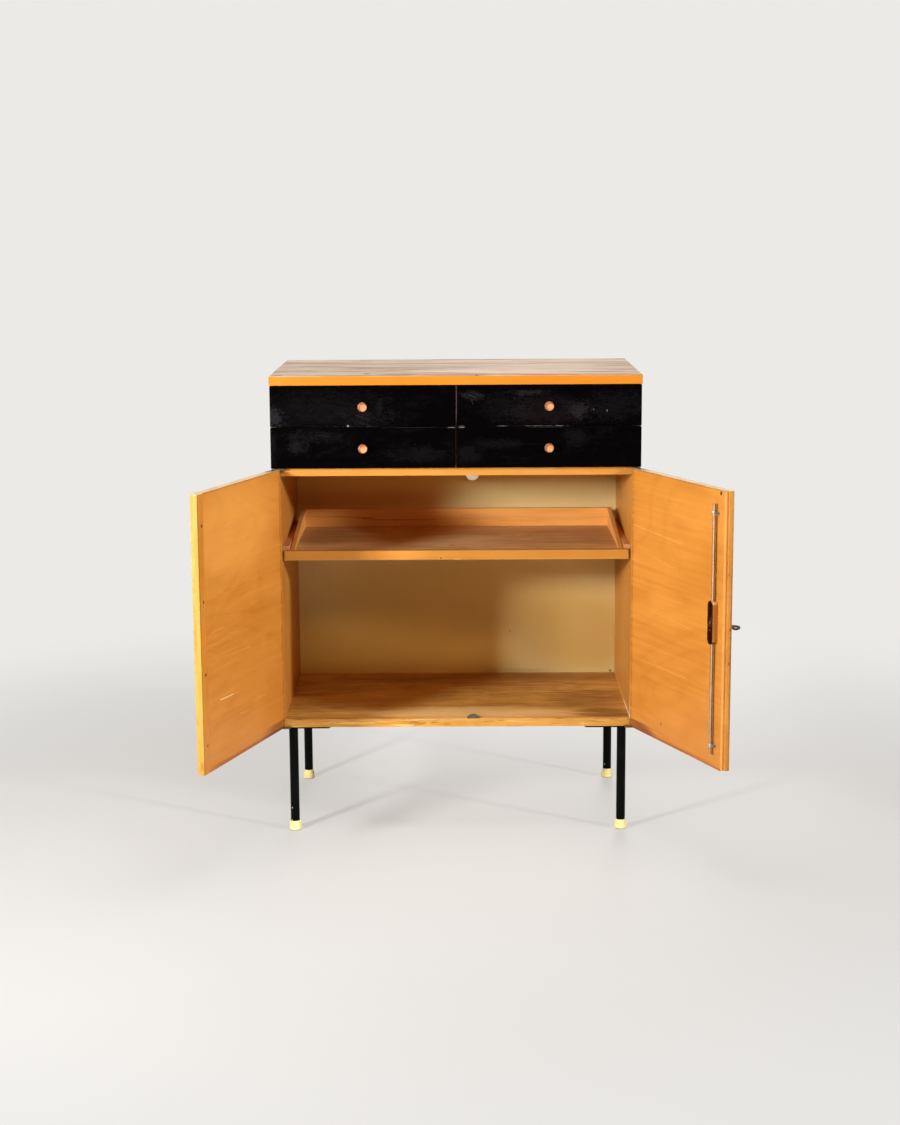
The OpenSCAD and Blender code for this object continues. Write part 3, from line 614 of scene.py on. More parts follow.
@dataclass(frozen=True)
class Lacquer(Finish):
    """Black lacquer on a drawer's front, with dust, hand marks and edges rubbed to the wood.

    Args:
        name: The finish's name.
        low: The front's lowest corner.
        high: Its highest corner.
        shift: A number that gives each front marks of its own.
        marks: What has happened to its face.
    """

    low: Vector
    high: Vector
    shift: float
    marks: tuple[Mark, ...] = ()

    def lay(self, coat: Coat) -> None:
        """Lays out the lacquer, its rubbed edges and marks, and the bare wood behind it.

        Args:
            coat: The finish's nodes.
        """
        coat.here = coat.moved(coat.here, (self.shift,) * 3)
        clouds = coat.noise((14.0, 14.0, 26.0), 8.0, 0.78, 0.8)
        specks = coat.noise((520.0, 520.0, 520.0), 1.0)
        swirls = coat.noise((40.0, 40.0, 330.0), 3.0, 0.6, 2.2)
        frayed = coat.noise((84.0, 84.0, 150.0), 7.0, 0.76, 1.5)
        dust = coat.rise(clouds + frayed * 0.5, 0.0, 0.28) * 0.5 + coat.rise(swirls, 0.14, 0.3) * 0.25
        colour = coat.mix(dust * 0.12, (2, 1, 2), (70, 68, 72))
        colour = coat.tint(colour, 0.5, (120, 116, 112), specks, 0.30, 0.36)
        across, through, up = coat.axes
        nearest = (across - self.low.x).least(self.high.x - across)
        nearest = nearest.least(up - self.low.z).least(self.high.z - up)
        chips = coat.noise((26.0, 26.0, 26.0), 4.0, 0.7)
        rubbed = 1 - coat.rise(nearest - coat.rise(chips, 0.04, 0.2) * 0.9 * MM, 0.0, 0.3 * MM)
        colour = coat.mix(rubbed * 0.10, colour, (84, 78, 76))
        wear = Wear(Face.UPRIGHT, self.low.y - MM, self.low.y + 1.4 * MM, self.marks)
        colour = wear.lay(coat, frayed * 1.8 + swirls * 0.8 + clouds, colour)
        back = coat.rise(through, self.high.y - 1.0 * MM, self.high.y - 0.5 * MM)
        grain = coat.noise((3.0, 90.0, 90.0), 4.0, 0.6)
        bare = coat.mix(grain + 0.5, (168, 112, 66), (205, 152, 98))
        rough = dust * 0.3 + back * 0.25 + swirls * 0.12 + 0.36
        height = swirls + specks * 0.4 - rubbed * 0.6
        coat.surface(coat.mix(back, colour, bare), rough, height, 0.12 * MM, Specular_IOR_Level=0.012)


@dataclass(frozen=True)
class Steel(Finish):
    """Bare or plated steel with tarnish and fine marks along the piece.

    Args:
        name: The finish's name.
        bright: The clean metal.
        dull: The tarnished metal.
        run: The axis of the fine marks.
        shine: The roughness of the clean metal.
        age: How far the tarnish has spread, from 0 to 1.
        place: How the piece stands.
        wear: Marks on its faces, painted shade and highlights among them.
    """

    bright: Tone
    dull: Tone
    run: Axis = Axis.Z
    shine: float = 0.3
    age: float = 0.4
    place: Place = HOME
    wear: tuple[Wear, ...] = ()

    def lay(self, coat: Coat) -> None:
        """Lays out the metal, its tarnish and pits, and its marks, painted shade and highlights among
        them.

        Args:
            coat: The finish's nodes.
        """
        clouds = coat.noise((60.0, 60.0, 45.0), 4.0, 0.6, 0.3)
        lines = coat.noise(self.run.stretch(35.0, 1600.0))
        pits = coat.noise((900.0, 900.0, 900.0))
        tarnish = coat.rise(clouds, 0.2 - 0.4 * self.age, 0.32 - 0.2 * self.age)
        colour = coat.mix(tarnish * 0.8, self.bright, self.dull)
        colour = coat.tint(colour, 0.5, (70, 50, 38), pits, 0.2, 0.3)
        for wear in self.wear:
            colour = wear.lay(coat, clouds, colour)
        rough = tarnish * 0.25 + lines * 0.35 + self.shine
        coat.surface(colour, rough, lines + pits * 0.5, 0.06 * MM, Metallic=1 - tarnish * 0.25)


@dataclass(frozen=True)
class BlackSteel(Finish):
    """Black paint on the legs and corner plates, thin at its edges and knocked low down.

    Args:
        name: The finish's name.
        chips: Where each leg with small chips begins on Y, and the chips' X and Z.
        deep: How far on Y from there the chips show.
    """

    chips: tuple[tuple[float, tuple[Pair, ...]], ...] = (
        (-0.3, ((-0.3705, 0.0526), (-0.3715, 0.0234))),
        (0.1, ((0.3588, 0.0335),)),
    )
    deep: float = 0.2

    def lay(self, coat: Coat) -> None:
        """Lays out the paint, its knocks and its small chips.

        Args:
            coat: The finish's nodes.
        """
        clouds = coat.noise((30.0, 30.0, 18.0), 4.0, 0.6)
        skin = coat.noise((420.0, 420.0, 420.0))
        lines = coat.noise((260.0, 260.0, 14.0), 3.0, 0.6)
        low = 1 - coat.rise(coat.axes[2], 0.02, 0.12)
        colour = coat.tint((4, 4, 4), 0.5, (20, 19, 19), clouds, 0.0, 0.3)
        knocks = coat.rise(lines + low * 0.05, 0.24, 0.3)
        colour = coat.mix(knocks * 0.7, colour, (112, 92, 76))
        for start, chips in self.chips:
            marks = tuple(Spot(at, (1.4 * MM, 1.6 * MM), (206, 200, 190), 0.8, 0.6) for at in chips)
            colour = Wear(Face.UPRIGHT, start, start + self.deep, marks).lay(coat, skin, colour)
        rough = clouds * 0.3 + knocks * 0.2 + 0.36
        coat.surface(colour, rough, skin - knocks * 0.5, 0.1 * MM, Specular_IOR_Level=0.05)


@dataclass(frozen=True)
class Ivory(Finish):
    """The ferrules' yellowed plastic, with a dirty foot and scuffs.

    Args:
        name: The finish's name.
    """

    def lay(self, coat: Coat) -> None:
        """Lays out the plastic, its scuffs and its foot.

        Args:
            coat: The finish's nodes.
        """
        clouds = coat.noise((70.0, 70.0, 70.0), 4.0, 0.6)
        scuffs = coat.noise((90.0, 90.0, 700.0), 3.0, 0.6, 0.5)
        foot = 1 - coat.rise(coat.axes[2] + clouds * 0.006, 0.5 * MM, 4.0 * MM)
        colour = coat.mix(coat.rise(clouds, -0.1, 0.25), (244, 228, 164), (234, 210, 132))
        dirt = coat.rise(scuffs, 0.18, 0.3) * 0.5 + foot * 0.55
        colour = coat.mix(dirt, colour, (120, 98, 66))
        coat.surface(colour, clouds * 0.3 + foot * 0.2 + 0.42, scuffs + clouds * 0.5, 0.12 * MM)


@dataclass(frozen=True)
class Hardboard(Finish):
    """The back panel: cream paint on hardboard, smooth inside and ribbed brown outside.

    Args:
        name: The finish's name.
        inner: The Y of the inner face.
        marks: What shows on the inner face.
        ribs: The pace of the outer face's ribs, in radians a metre.
    """

    inner: float
    marks: tuple[Mark, ...] = ()
    ribs: float = 4200.0

    def lay(self, coat: Coat) -> None:
        """Lays out the paint with its marks, and the raw board outside.

        Args:
            coat: The finish's nodes.
        """
        across, through, up = coat.axes
        clouds = coat.noise((4.0, 4.0, 3.0), 4.0, 0.6, 0.5)
        brush = coat.noise((220.0, 220.0, 9.0), 3.0, 0.6)
        fleck = coat.noise((600.0, 600.0, 600.0))
        colour = coat.mix((clouds + brush * 0.35 + 0.5).held(), (210, 184, 122), (224, 202, 142))
        colour = coat.tint(colour, 0.35, (168, 134, 84), fleck, 0.26, 0.34)
        colour = Wear.at(Face.UPRIGHT, self.inner, self.marks).lay(coat, fleck, colour)
        outer = coat.rise(through, self.inner + 1.0 * MM, self.inner + 2.0 * MM)
        raw = coat.mix((clouds + fleck * 0.8 + 0.5).held(), (132, 96, 62), (170, 128, 86))
        ribs = across.wave(self.ribs) * up.wave(self.ribs)
        rough = outer * 0.2 + clouds * 0.1 + 0.55
        height = brush * 0.6 + fleck * 0.4 + ribs * outer * 0.5
        coat.surface(coat.mix(outer, colour, raw), rough, height, 0.15 * MM, Specular_IOR_Level=0.12)


@dataclass(frozen=True)
class TurnedWood(Finish):
    """A knob's wood, with the rings of its end grain and a worn face, and its steel screw.

    Args:
        name: The finish's name.
        centre: The knob's middle on X and Z.
        neck: The Y of the drawer front's face, behind which the screw begins.
        tip: The Y of the knob's face.
        pith: How far the rings' middle is off the knob's.
    """

    centre: Pair
    neck: float
    tip: float
    pith: Pair = (3 * MM, -2 * MM)

    def lay(self, coat: Coat) -> None:
        """Lays out the rings, the worn face, the dark rim and the screw.

        Args:
            coat: The finish's nodes.
        """
        across, through, up = coat.axes
        wide, high = across - (self.centre[0] + self.pith[0]), up - (self.centre[1] + self.pith[1])
        around = wide.sum("SQRT", wide * wide + high * high)
        shake = coat.noise((160.0, 60.0, 160.0), 3.0, 0.6)
        fibres = coat.noise((900.0, 60.0, 900.0))
        rings = around.sum("SINE", around * 3600.0 + shake * 9.0) * 0.5 + 0.5
        turned = coat.mix((rings * 0.5 + shake + fibres * 0.5 + 0.2).held(), (196, 104, 46),
                          (234, 152, 82))
        worn = coat.mix((rings * 0.6 + shake * 2.4 + 0.3).held(), (150, 78, 36),
                        (244, 178, 122))
        face = 1 - coat.rise(through, self.tip + 1.0 * MM, self.tip + 3.5 * MM)
        colour = coat.mix(face * 0.85, turned, worn)
        colour = coat.tint(colour, 0.8, (112, 46, 18), around + shake * 3.0 * MM, 6.2 * MM, 8.6 * MM)
        screw = coat.rise(through, self.neck - 0.1 * MM, self.neck + 0.1 * MM)
        colour = coat.mix(screw, colour, (170, 164, 152))
        rough = shake * 0.2 - screw * 0.1 + 0.42
        coat.surface(colour, rough, rings * 0.4 + fibres, 0.1 * MM, Metallic=screw)


def dress(finish: Finish, *nodes: str, ease: float = 0.0) -> None:
    """Gives CAD nodes their finish and eases their edges.

    Args:
        finish: The finish, which they share.
        nodes: The nodes' names.
        ease: The width of the eased edges, or 0 for none.
    """
    material = finish.material()
    for node in nodes:
        piece = frame["nodes"][node]
        piece.data.materials.clear()
        piece.data.materials.append(material)
        if ease:
            weld = piece.modifiers.new("joined", "WELD")
            weld.merge_threshold = WELD_REACH
            bevel = piece.modifiers.new("eased", "BEVEL")
            bevel.width, bevel.segments = ease, EASE_STEPS
            bevel.limit_method, bevel.angle_limit = "ANGLE", SHARP
            bevel.harden_normals = True
        log.info("%s is dressed in %s", node, finish.name)


def add_piece(
    name: str, mesh: bmesh.types.BMesh, material: bpy.types.Material, body: str,
) -> None:
    """Turns a mesh that lies in the room's axes into a piece of the object.

    Args:
        name: The piece's name.
        mesh: Its shape, which is used up.
        material: Its finish.
        body: The body that it rides on.
    """
    data = bpy.data.meshes.new(name)
    bmesh.ops.recalc_face_normals(mesh, faces=mesh.faces)
    mesh.to_mesh(data)
    mesh.free()
    data.materials.append(material)
    piece = bpy.data.objects.new(name, data)
    bpy.context.scene.collection.objects.link(piece)
    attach(piece, body)
    log.info("%s rides on %s", name, body)


@dataclass(frozen=True)
class SlottedHead:
    """A screw's head with its slot, standing on Z = 0 and looking along +Z.

    Args:
        radius: The head's radius.
        rise: Its height at the middle.
        shank: How far the screw goes down below the head.
        slot: The slot's width, or 0 for a plain nail head.
        turn: The slot's angle in degrees.
    """

    radius: float
    rise: float
    shank: float
    slot: float = 0.0
    turn: float = 20.0

    def _half(self, mesh: bmesh.types.BMesh, spin: float) -> None:
        """Builds the half of the head on one side of the slot, domed towards the middle.

        Args:
            mesh: Where it goes.
            spin: The half's angle about Z.
        """
        steps, rings, rim = 14, 4, 0.45
        crown = 0.12 if self.slot else 0.0
        turned = Matrix.Rotation(spin, 3, "Z")

        def arc(reach: float, height: float) -> list[bmesh.types.BMVert]:
            """Half a turn of points at one height, from one wall of the slot to the other."""
            first = math.asin(min(1.0, self.slot / 2 / max(reach, self.slot / 2 + 1e-9)))
            angles = (first + (math.pi - 2 * first) * k / steps for k in range(steps + 1))
            return [mesh.verts.new(turned @ Vector((reach * math.cos(a), reach * math.sin(a), height)))
                    for a in angles]

        rows = [arc(self.radius, 0.0)]
        for ring in range(rings + 1):
            lift = math.pi / 2 * ring / rings
            rows.append(arc(self.radius * (crown + (1 - crown) * math.cos(lift)),
                            self.rise * (rim + (1 - rim) * math.sin(lift))))
        for low, high in zip(rows, rows[1:]):
            for k in range(steps):
                mesh.faces.new((low[k], low[k + 1], high[k + 1], high[k]))
        mesh.faces.new([row[0] for row in rows] + [row[-1] for row in reversed(rows)])
        if self.slot:
            mesh.faces.new(rows[-1])

    def mesh(self, matrix: Matrix) -> bmesh.types.BMesh:
        """Builds the head and its shank.

        Args:
            matrix: Where it stands.

        Returns:
            The mesh.
        """
        mesh = bmesh.new()
        for spin in (0.0, math.pi):
            self._half(mesh, spin)
        bmesh.ops.remove_doubles(mesh, verts=mesh.verts, dist=1e-6)
        inside = self.rise * 0.25
        core = bmesh.ops.create_cone(
            mesh, cap_ends=True, segments=20, radius1=self.radius * 0.3, radius2=self.radius * 0.93,
            depth=self.shank + inside,
        )
        lift = Matrix.Translation((0, 0, (inside - self.shank) / 2))
        bmesh.ops.transform(mesh, matrix=lift, verts=core["verts"])
        turned = matrix @ Matrix.Rotation(math.radians(self.turn), 4, "Z")
        bmesh.ops.transform(mesh, matrix=turned, verts=mesh.verts)
        return mesh

    def drive(
        self, name: str, at: tuple[float, float, float], towards: tuple[int, int, int],
        steel: bpy.types.Material, body: str = "case", place: Place = HOME,
    ) -> None:
        """Drives a screw, nail or brad with this head into a piece.

        Args:
            name: Its name.
            at: Where the head stands on the piece's own axes.
            towards: The way that the head looks on them.
            steel: Its finish.
            body: The body that it rides on.
            place: How the piece that holds it stands.
        """
        turn = Vector(towards).to_track_quat("Z", "Y").to_matrix().to_4x4()
        mesh = self.mesh(place.matrix @ Matrix.Translation(at) @ turn)
        add_piece(name, mesh, steel, body)


LEAF_SCREW = SlottedHead(1.75 * MM, 0.9 * MM, 9 * MM, 0.5 * MM)
SUNK = LEAF_SCREW.rise + 0.1 * MM


@dataclass
class Case:
    """The case: its boards, its back, the battens, the tray's runners and the keepers.

    Args:
        ease: The width of the boards' eased edges.
        brad: The heads of the brads that hold the back panel.
        brad_gap: The distance from one brad to the next.
        brad_in: How far the brads are from the panel's ends.
        lip: How deep the boards' front lippings are.
    """

    ease: float = 0.9 * MM
    brad: SlottedHead = SlottedHead(2.2 * MM, 0.4 * MM, 4 * MM)
    brad_gap: float = 92 * MM
    brad_in: float = 4.5 * MM
    lip: float = 1.1 * MM

    def dress(self) -> None:
        """Gives the boards their finishes."""
        top_low, top_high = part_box("top_panel")
        dress(WornTop("worn_top", top_high.z, top_low.y), "top_panel", ease=1.2 * MM)
        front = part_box("dust_panel")[0].y
        lip = Band(Axis.Y, front - MM, front + self.lip, EDGE_PALE, EDGE_DARK)
        for node, shift in (("left_side_panel", 3.1), ("right_side_panel", 7.7)):
            wood = Wood(f"birch_{node}", SIDE_PALE, SIDE_DARK, Axis.Z, shift=shift, bands=(lip,),
                        wear=self._side_wear(node))
            dress(wood, node, ease=self.ease)
        patina = (Patina((124, 74, 28), 0.5, (4.0, 20.0), 0.0, 0.2, 2.0),
                  Patina((96, 54, 20), 0.65, (14.0, 120.0), 0.02, 0.2, 3.0),
                  Patina((250, 208, 124), 0.75, (13.0, 150.0), 0.02, 0.18, 5.0))
        rim = Band(Axis.Y, lip.low, lip.high, (226, 168, 82), (204, 142, 56))
        floor = Wood("birch_floor", (234, 178, 92), (180, 124, 52), Axis.X, shift=1.3,
                     contrast=1.9, patina=patina, bands=(rim,), wear=self._floor_patches_and_marks())
        dress(floor, "bottom_panel", ease=self.ease)
        dirt = Wear.at(Face.UPRIGHT, front, (
            Spot((-0.380, 0.812), (0.010, 0.005), (104, 56, 26), 0.7, 0.9, 2.0),
        ))
        rail = Wood("birch_rail", (232, 170, 84), (206, 140, 56), Axis.X, shift=5.2, bands=(lip,),
                    wear=(dirt,))
        dress(rail, "dust_panel", ease=self.ease)
        divider = Wood("birch_divider", BIRCH_PALE, BIRCH_DARK, Axis.Z, shift=6.4)
        dress(divider, "centre_divider", ease=self.ease)
        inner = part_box("back_panel")[0].y
        dress(Hardboard("cream_hardboard_face", inner, self._back_marks_and_painted_light()), "back_panel")
        beech = Wood("beech_runners", BEECH_PALE, BEECH_DARK, Axis.Y, shift=2.2, shine=0.55)
        dress(beech, "drawer_runners", "tray_runners", ease=0.5 * MM)

    def _back_marks_and_painted_light(self) -> tuple[Mark, ...]:
        """Lists the nail holes, a stain, a darker band at the foot, the painted shade and light, and the
        scratches of the back panel.

        Returns:
            The marks on its inner face.
        """
        return (
            Spot((0.128, 0.361), (0.0026, 0.0022), (84, 54, 26), 0.8, 0.7),
            Spot((0.120, 0.357), (0.0016, 0.0012), (104, 72, 36), 0.5, 0.7),
            Spot((0.372, 0.262), (0.004, 0.004), (60, 38, 22), 0.8, 0.7),
            Spot((-0.05, 0.262), (0.34, 0.012), (150, 104, 52), 0.45, 0.9, 1.0),
            # Painted shade: a warm darker patch over the upper left.
            Spot((-0.28, 0.79), (0.42, 0.18), (212, 146, 44), 0.7, 0.9),
            # Painted light: a paler patch low on the left.
            Spot((-0.18, 0.29), (0.40, 0.15), (255, 232, 144), 1.0, 0.9),
            # Painted shade: darker patches across the middle and on the right.
            Spot((-0.02, 0.46), (0.36, 0.15), (184, 138, 44), 0.55, 0.95, 0.4),
            Spot((0.31, 0.36), (0.20, 0.14), (176, 134, 52), 0.65, 0.95, 0.4),
            Scratch((-0.18, 0.72), (-0.09, 0.70), 0.9 * MM, (170, 142, 84), 0.5),
            Scratch((0.200, 0.345), (0.206, 0.372), 0.9 * MM, (160, 130, 74), 0.4),
        )

    def _side_wear(self, node: str) -> tuple[Wear, ...]:
        """Lists the rubs where the tray runs past a side panel, and its worn or dirty front edge.

        Args:
            node: The side panel's name.

        Returns:
            The marks on its inner face and on its front edge.
        """
        low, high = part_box(node)
        right = node.startswith("right")
        inner = low.x if right else high.x
        nose = (
            Spot((inner + 1 * MM, 0.272), (0.0030, 0.016), (252, 232, 200), 0.8, 0.8, 1.5),
            Spot((inner + 1 * MM, 0.310), (0.0014, 0.050), (250, 214, 160), 0.5, 0.8, 2.0),
        ) if right else (
            Spot((inner, 0.812), (0.010, 0.005), (104, 56, 26), 0.7, 0.9, 2.0),
        )
        marks = (
            Spot((-0.16, 0.648), (0.05, 0.006), (176, 108, 50), 0.5, 0.9, 2.0),
            Scratch((-0.20, 0.60), (0.02, 0.604), 1.2 * MM, PALE_LINE, 0.5),
            Scratch((-0.19, 0.70), (-0.10, 0.712), 1.0 * MM, HAIR_LINE, 0.3),
        )
        if right:
            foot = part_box("bottom_panel")[1].z + 1.4 * MM
            marks += (Spot((-0.15, foot), (0.12, 0.0055), (250, 226, 190), 0.8, 0.7, 1.0),
                      Spot((0.06, foot), (0.14, 0.0035), (236, 190, 130), 0.6, 0.7, 1.0))
        return Wear.at(Face.FLANK, inner, marks), Wear.at(Face.UPRIGHT, low.y, nose)

    def _floor_patches_and_marks(self) -> tuple[Wear, ...]:
        """Lists the darker and paler patches, a small dark stain and the scratches on the cupboard's
        floor.

        Returns:
            The marks on its upper face.
        """
        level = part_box("bottom_panel")[1].z
        marks = (
            Spot((0.12, 0.17), (0.46, 0.10), (136, 78, 34), 0.6, 0.95, 2.0),
            Spot((0.12, 0.06), (0.14, 0.05), (136, 78, 34), 0.35, 0.95, 2.0),
            Spot((0.03, -0.17), (0.30, 0.07), (246, 204, 136), 0.8, 0.95, 2.5),
            Spot((-0.16, -0.06), (0.14, 0.07), (230, 176, 100), 0.5, 0.95, 2.5),
            Spot((0.30, -0.06), (0.10, 0.12), (148, 88, 42), 0.5, 0.95, 3.0),
            Spot((0.33, -0.18), (0.08, 0.06), (120, 68, 32), 0.75, 0.95, 3.0),
            Spot((0.268, 0.103), (0.022, 0.006), (84, 44, 20), 0.7, 0.8, 2.0),
            Scratch((0.19, -0.13), (0.25, -0.145), 2.0 * MM, (92, 50, 24), 0.6),
            Scratch((-0.30, -0.10), (-0.14, -0.12), 1.4 * MM, (246, 190, 110), 0.5),
            Scratch((-0.05, -0.16), (0.08, -0.17), 1.2 * MM, (120, 66, 30), 0.5),
        )
        return (Wear.at(Face.LEVEL, level, marks),)

    def pin_back(self) -> None:
        """Drives brads round the back panel, on its outer side."""
        low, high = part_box("back_panel")
        steel = Steel("brad_steel", (150, 144, 132), (96, 70, 52), age=0.7).material()
        count = round((high.z - low.z) / self.brad_gap)
        for k in range(count + 1):
            z = low.z + self.brad_in + (high.z - low.z - 2 * self.brad_in) * k / count
            for x, side in ((low.x + self.brad_in, "left"), (high.x - self.brad_in, "right")):
                self.brad.drive(f"back_brad_{side}_{k}", (x, high.y, z), (0, 1, 0), steel)


@dataclass
class Fronts:
    """The four drawers.

    Args:
        ease: The width of the fronts' eased edges.
    """

    ease: float = 0.8 * MM

    def _marks(self, name: str, inner: float) -> tuple[Mark, ...]:
        """Lists the dust, haze, chips and scratches on one drawer's front.

        Args:
            name: The drawer's name.
            inner: The X of its edge towards the middle of the case.

        Returns:
            The marks on its face.
        """
        dust, haze, bare = (46, 44, 47), (25, 23, 25), (148, 144, 143)
        red_haze = (30, 23, 24)
        gap_top, gap_low = 0.9109, 0.9086
        return {
            "upper_left": (
                Spot((-0.280, 0.948), (0.150, 0.042), haze, 0.34, 0.95, 5.0),
                Spot((-0.200, 0.932), (0.062, 0.026), haze, 0.36, 0.95, 4.0),
                Spot((-0.388, 0.930), (0.020, 0.020), dust, 0.42, 0.95, 5.0),
                Spot((-0.165, 0.955), (0.012, 0.018), haze, 0.42, 0.95, 3.0),
                Spot((-0.232, 0.9125), (0.0026, 0.0026), bare, 0.7, 0.5),
                Spot((-0.205, gap_top), (0.090, 0.0007), bare, 0.12, 0.8, 4.0),
                Scratch((-0.214, 0.936), (-0.186, 0.925), 0.9 * MM, dust, 0.7),
                Scratch((-0.226, 0.928), (-0.190, 0.918), 0.8 * MM, dust, 0.6),
                Scratch((-0.208, 0.918), (-0.184, 0.914), 0.8 * MM, dust, 0.6),
            ),
            "upper_right": (
                Spot((0.036, 0.977), (0.024, 0.010), dust, 0.42, 0.95, 5.0),
                Spot((0.160, 0.983), (0.050, 0.007), dust, 0.36, 0.95, 4.0),
                Spot((0.200, 0.945), (0.100, 0.038), red_haze, 0.48, 0.95, 2.5),
                Spot((0.262, 0.946), (0.024, 0.020), dust, 0.36, 0.95, 3.0),
                Spot((0.340, 0.955), (0.070, 0.034), haze, 0.42, 0.95, 5.0),
                Spot((0.110, 0.950), (0.060, 0.034), haze, 0.3, 0.95, 5.0),
                Spot((0.178, gap_top), (0.050, 0.0007), bare, 0.6, 0.7, 4.0),
                Spot((0.101, gap_top), (0.012, 0.0009), bare, 0.9, 0.6, 3.0),
                Spot((0.012, gap_top), (0.006, 0.0009), bare, 0.9, 0.6, 3.0),
                Spot((0.223, gap_top), (0.010, 0.0009), bare, 0.9, 0.6, 2.0),
                Spot((inner, 0.962), (0.0018, 0.050), (84, 76, 80), 0.8, 0.7, 2.0),
                Spot((0.325, 0.943), (0.0018, 0.0034), bare, 0.28, 0.8),
                Spot((0.296, 0.946), (0.0018, 0.0018), bare, 0.2, 0.8),
                Scratch((0.028, 0.979), (0.044, 0.972), 0.9 * MM, (92, 92, 104), 0.6),
                Scratch((0.034, 0.966), (0.038, 0.957), 1.2 * MM, (60, 66, 90), 0.5),
            ),
            "lower_left": (
                Spot((-0.340, 0.866), (0.024, 0.014), dust, 0.24, 0.95, 4.0),
                Spot((-0.300, 0.890), (0.070, 0.014), haze, 0.48, 0.95, 5.0),
                Spot((-0.398, 0.870), (0.012, 0.040), haze, 0.48, 0.95, 3.0),
                Spot((-0.080, 0.850), (0.080, 0.016), haze, 0.36, 0.95, 5.0),
                Spot((-0.090, gap_low), (0.060, 0.0006), bare, 0.1, 0.8, 4.0),
                Spot((-0.008, gap_low), (0.010, 0.0009), bare, 0.75, 0.5, 2.0),
                Scratch((-0.30, 0.893), (-0.27, 0.890), 0.9 * MM, dust, 0.6),
            ),
            "lower_right": (
                Spot((0.090, 0.872), (0.060, 0.012), haze, 0.42, 0.95, 4.0),
                Spot((0.260, 0.885), (0.030, 0.022), haze, 0.42, 0.95, 4.0),
                Spot((0.012, gap_low), (0.010, 0.0012), bare, 0.6, 0.6, 3.0),
                Spot((0.190, gap_low), (0.044, 0.0006), bare, 0.2, 0.7, 4.0),
                Spot((0.028, 0.850), (0.030, 0.020), haze, 0.42, 0.95, 5.0),
            ),
        }[name]

    def dress(self) -> None:
        """Gives each drawer its finishes."""
        names = [f"{row}_{column}" for row in ("upper", "lower") for column in ("left", "right")]
        beech = Wood("beech_drawers", BEECH_PALE, BEECH_DARK, Axis.Y, shift=4.1, shine=0.58)
        dress(beech, *(f"{name}_sides" for name in names), ease=0.5 * MM)
        across = Wood("beech_drawer_backs", BEECH_PALE, BEECH_DARK, Axis.X, shift=8.3, shine=0.58)
        dress(across, *(f"{name}_back" for name in names), ease=0.5 * MM)
        thin = Wood("drawer_bottom_ply", (224, 176, 118), (196, 140, 84), Axis.X, shift=9.9,
                    patina=(Patina((128, 92, 66), 0.25),), shine=0.6)
        dress(thin, *(f"{name}_bottom" for name in names))
        for k, name in enumerate(names):
            low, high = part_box(f"{name}_front")
            marks = self._marks(name, high.x if name.endswith("left") else low.x)
            lacquer = Lacquer(f"lacquer_{name}", low, high, 2.3 * k + 0.7, marks)
            dress(lacquer, f"{name}_front", ease=self.ease)
            knob_low, knob_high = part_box(f"{name}_knob")
            middle = (knob_low + knob_high) / 2
            knob = TurnedWood(f"knob_{name}", (middle.x, middle.z), low.y, knob_low.y)
            dress(knob, f"{name}_knob")


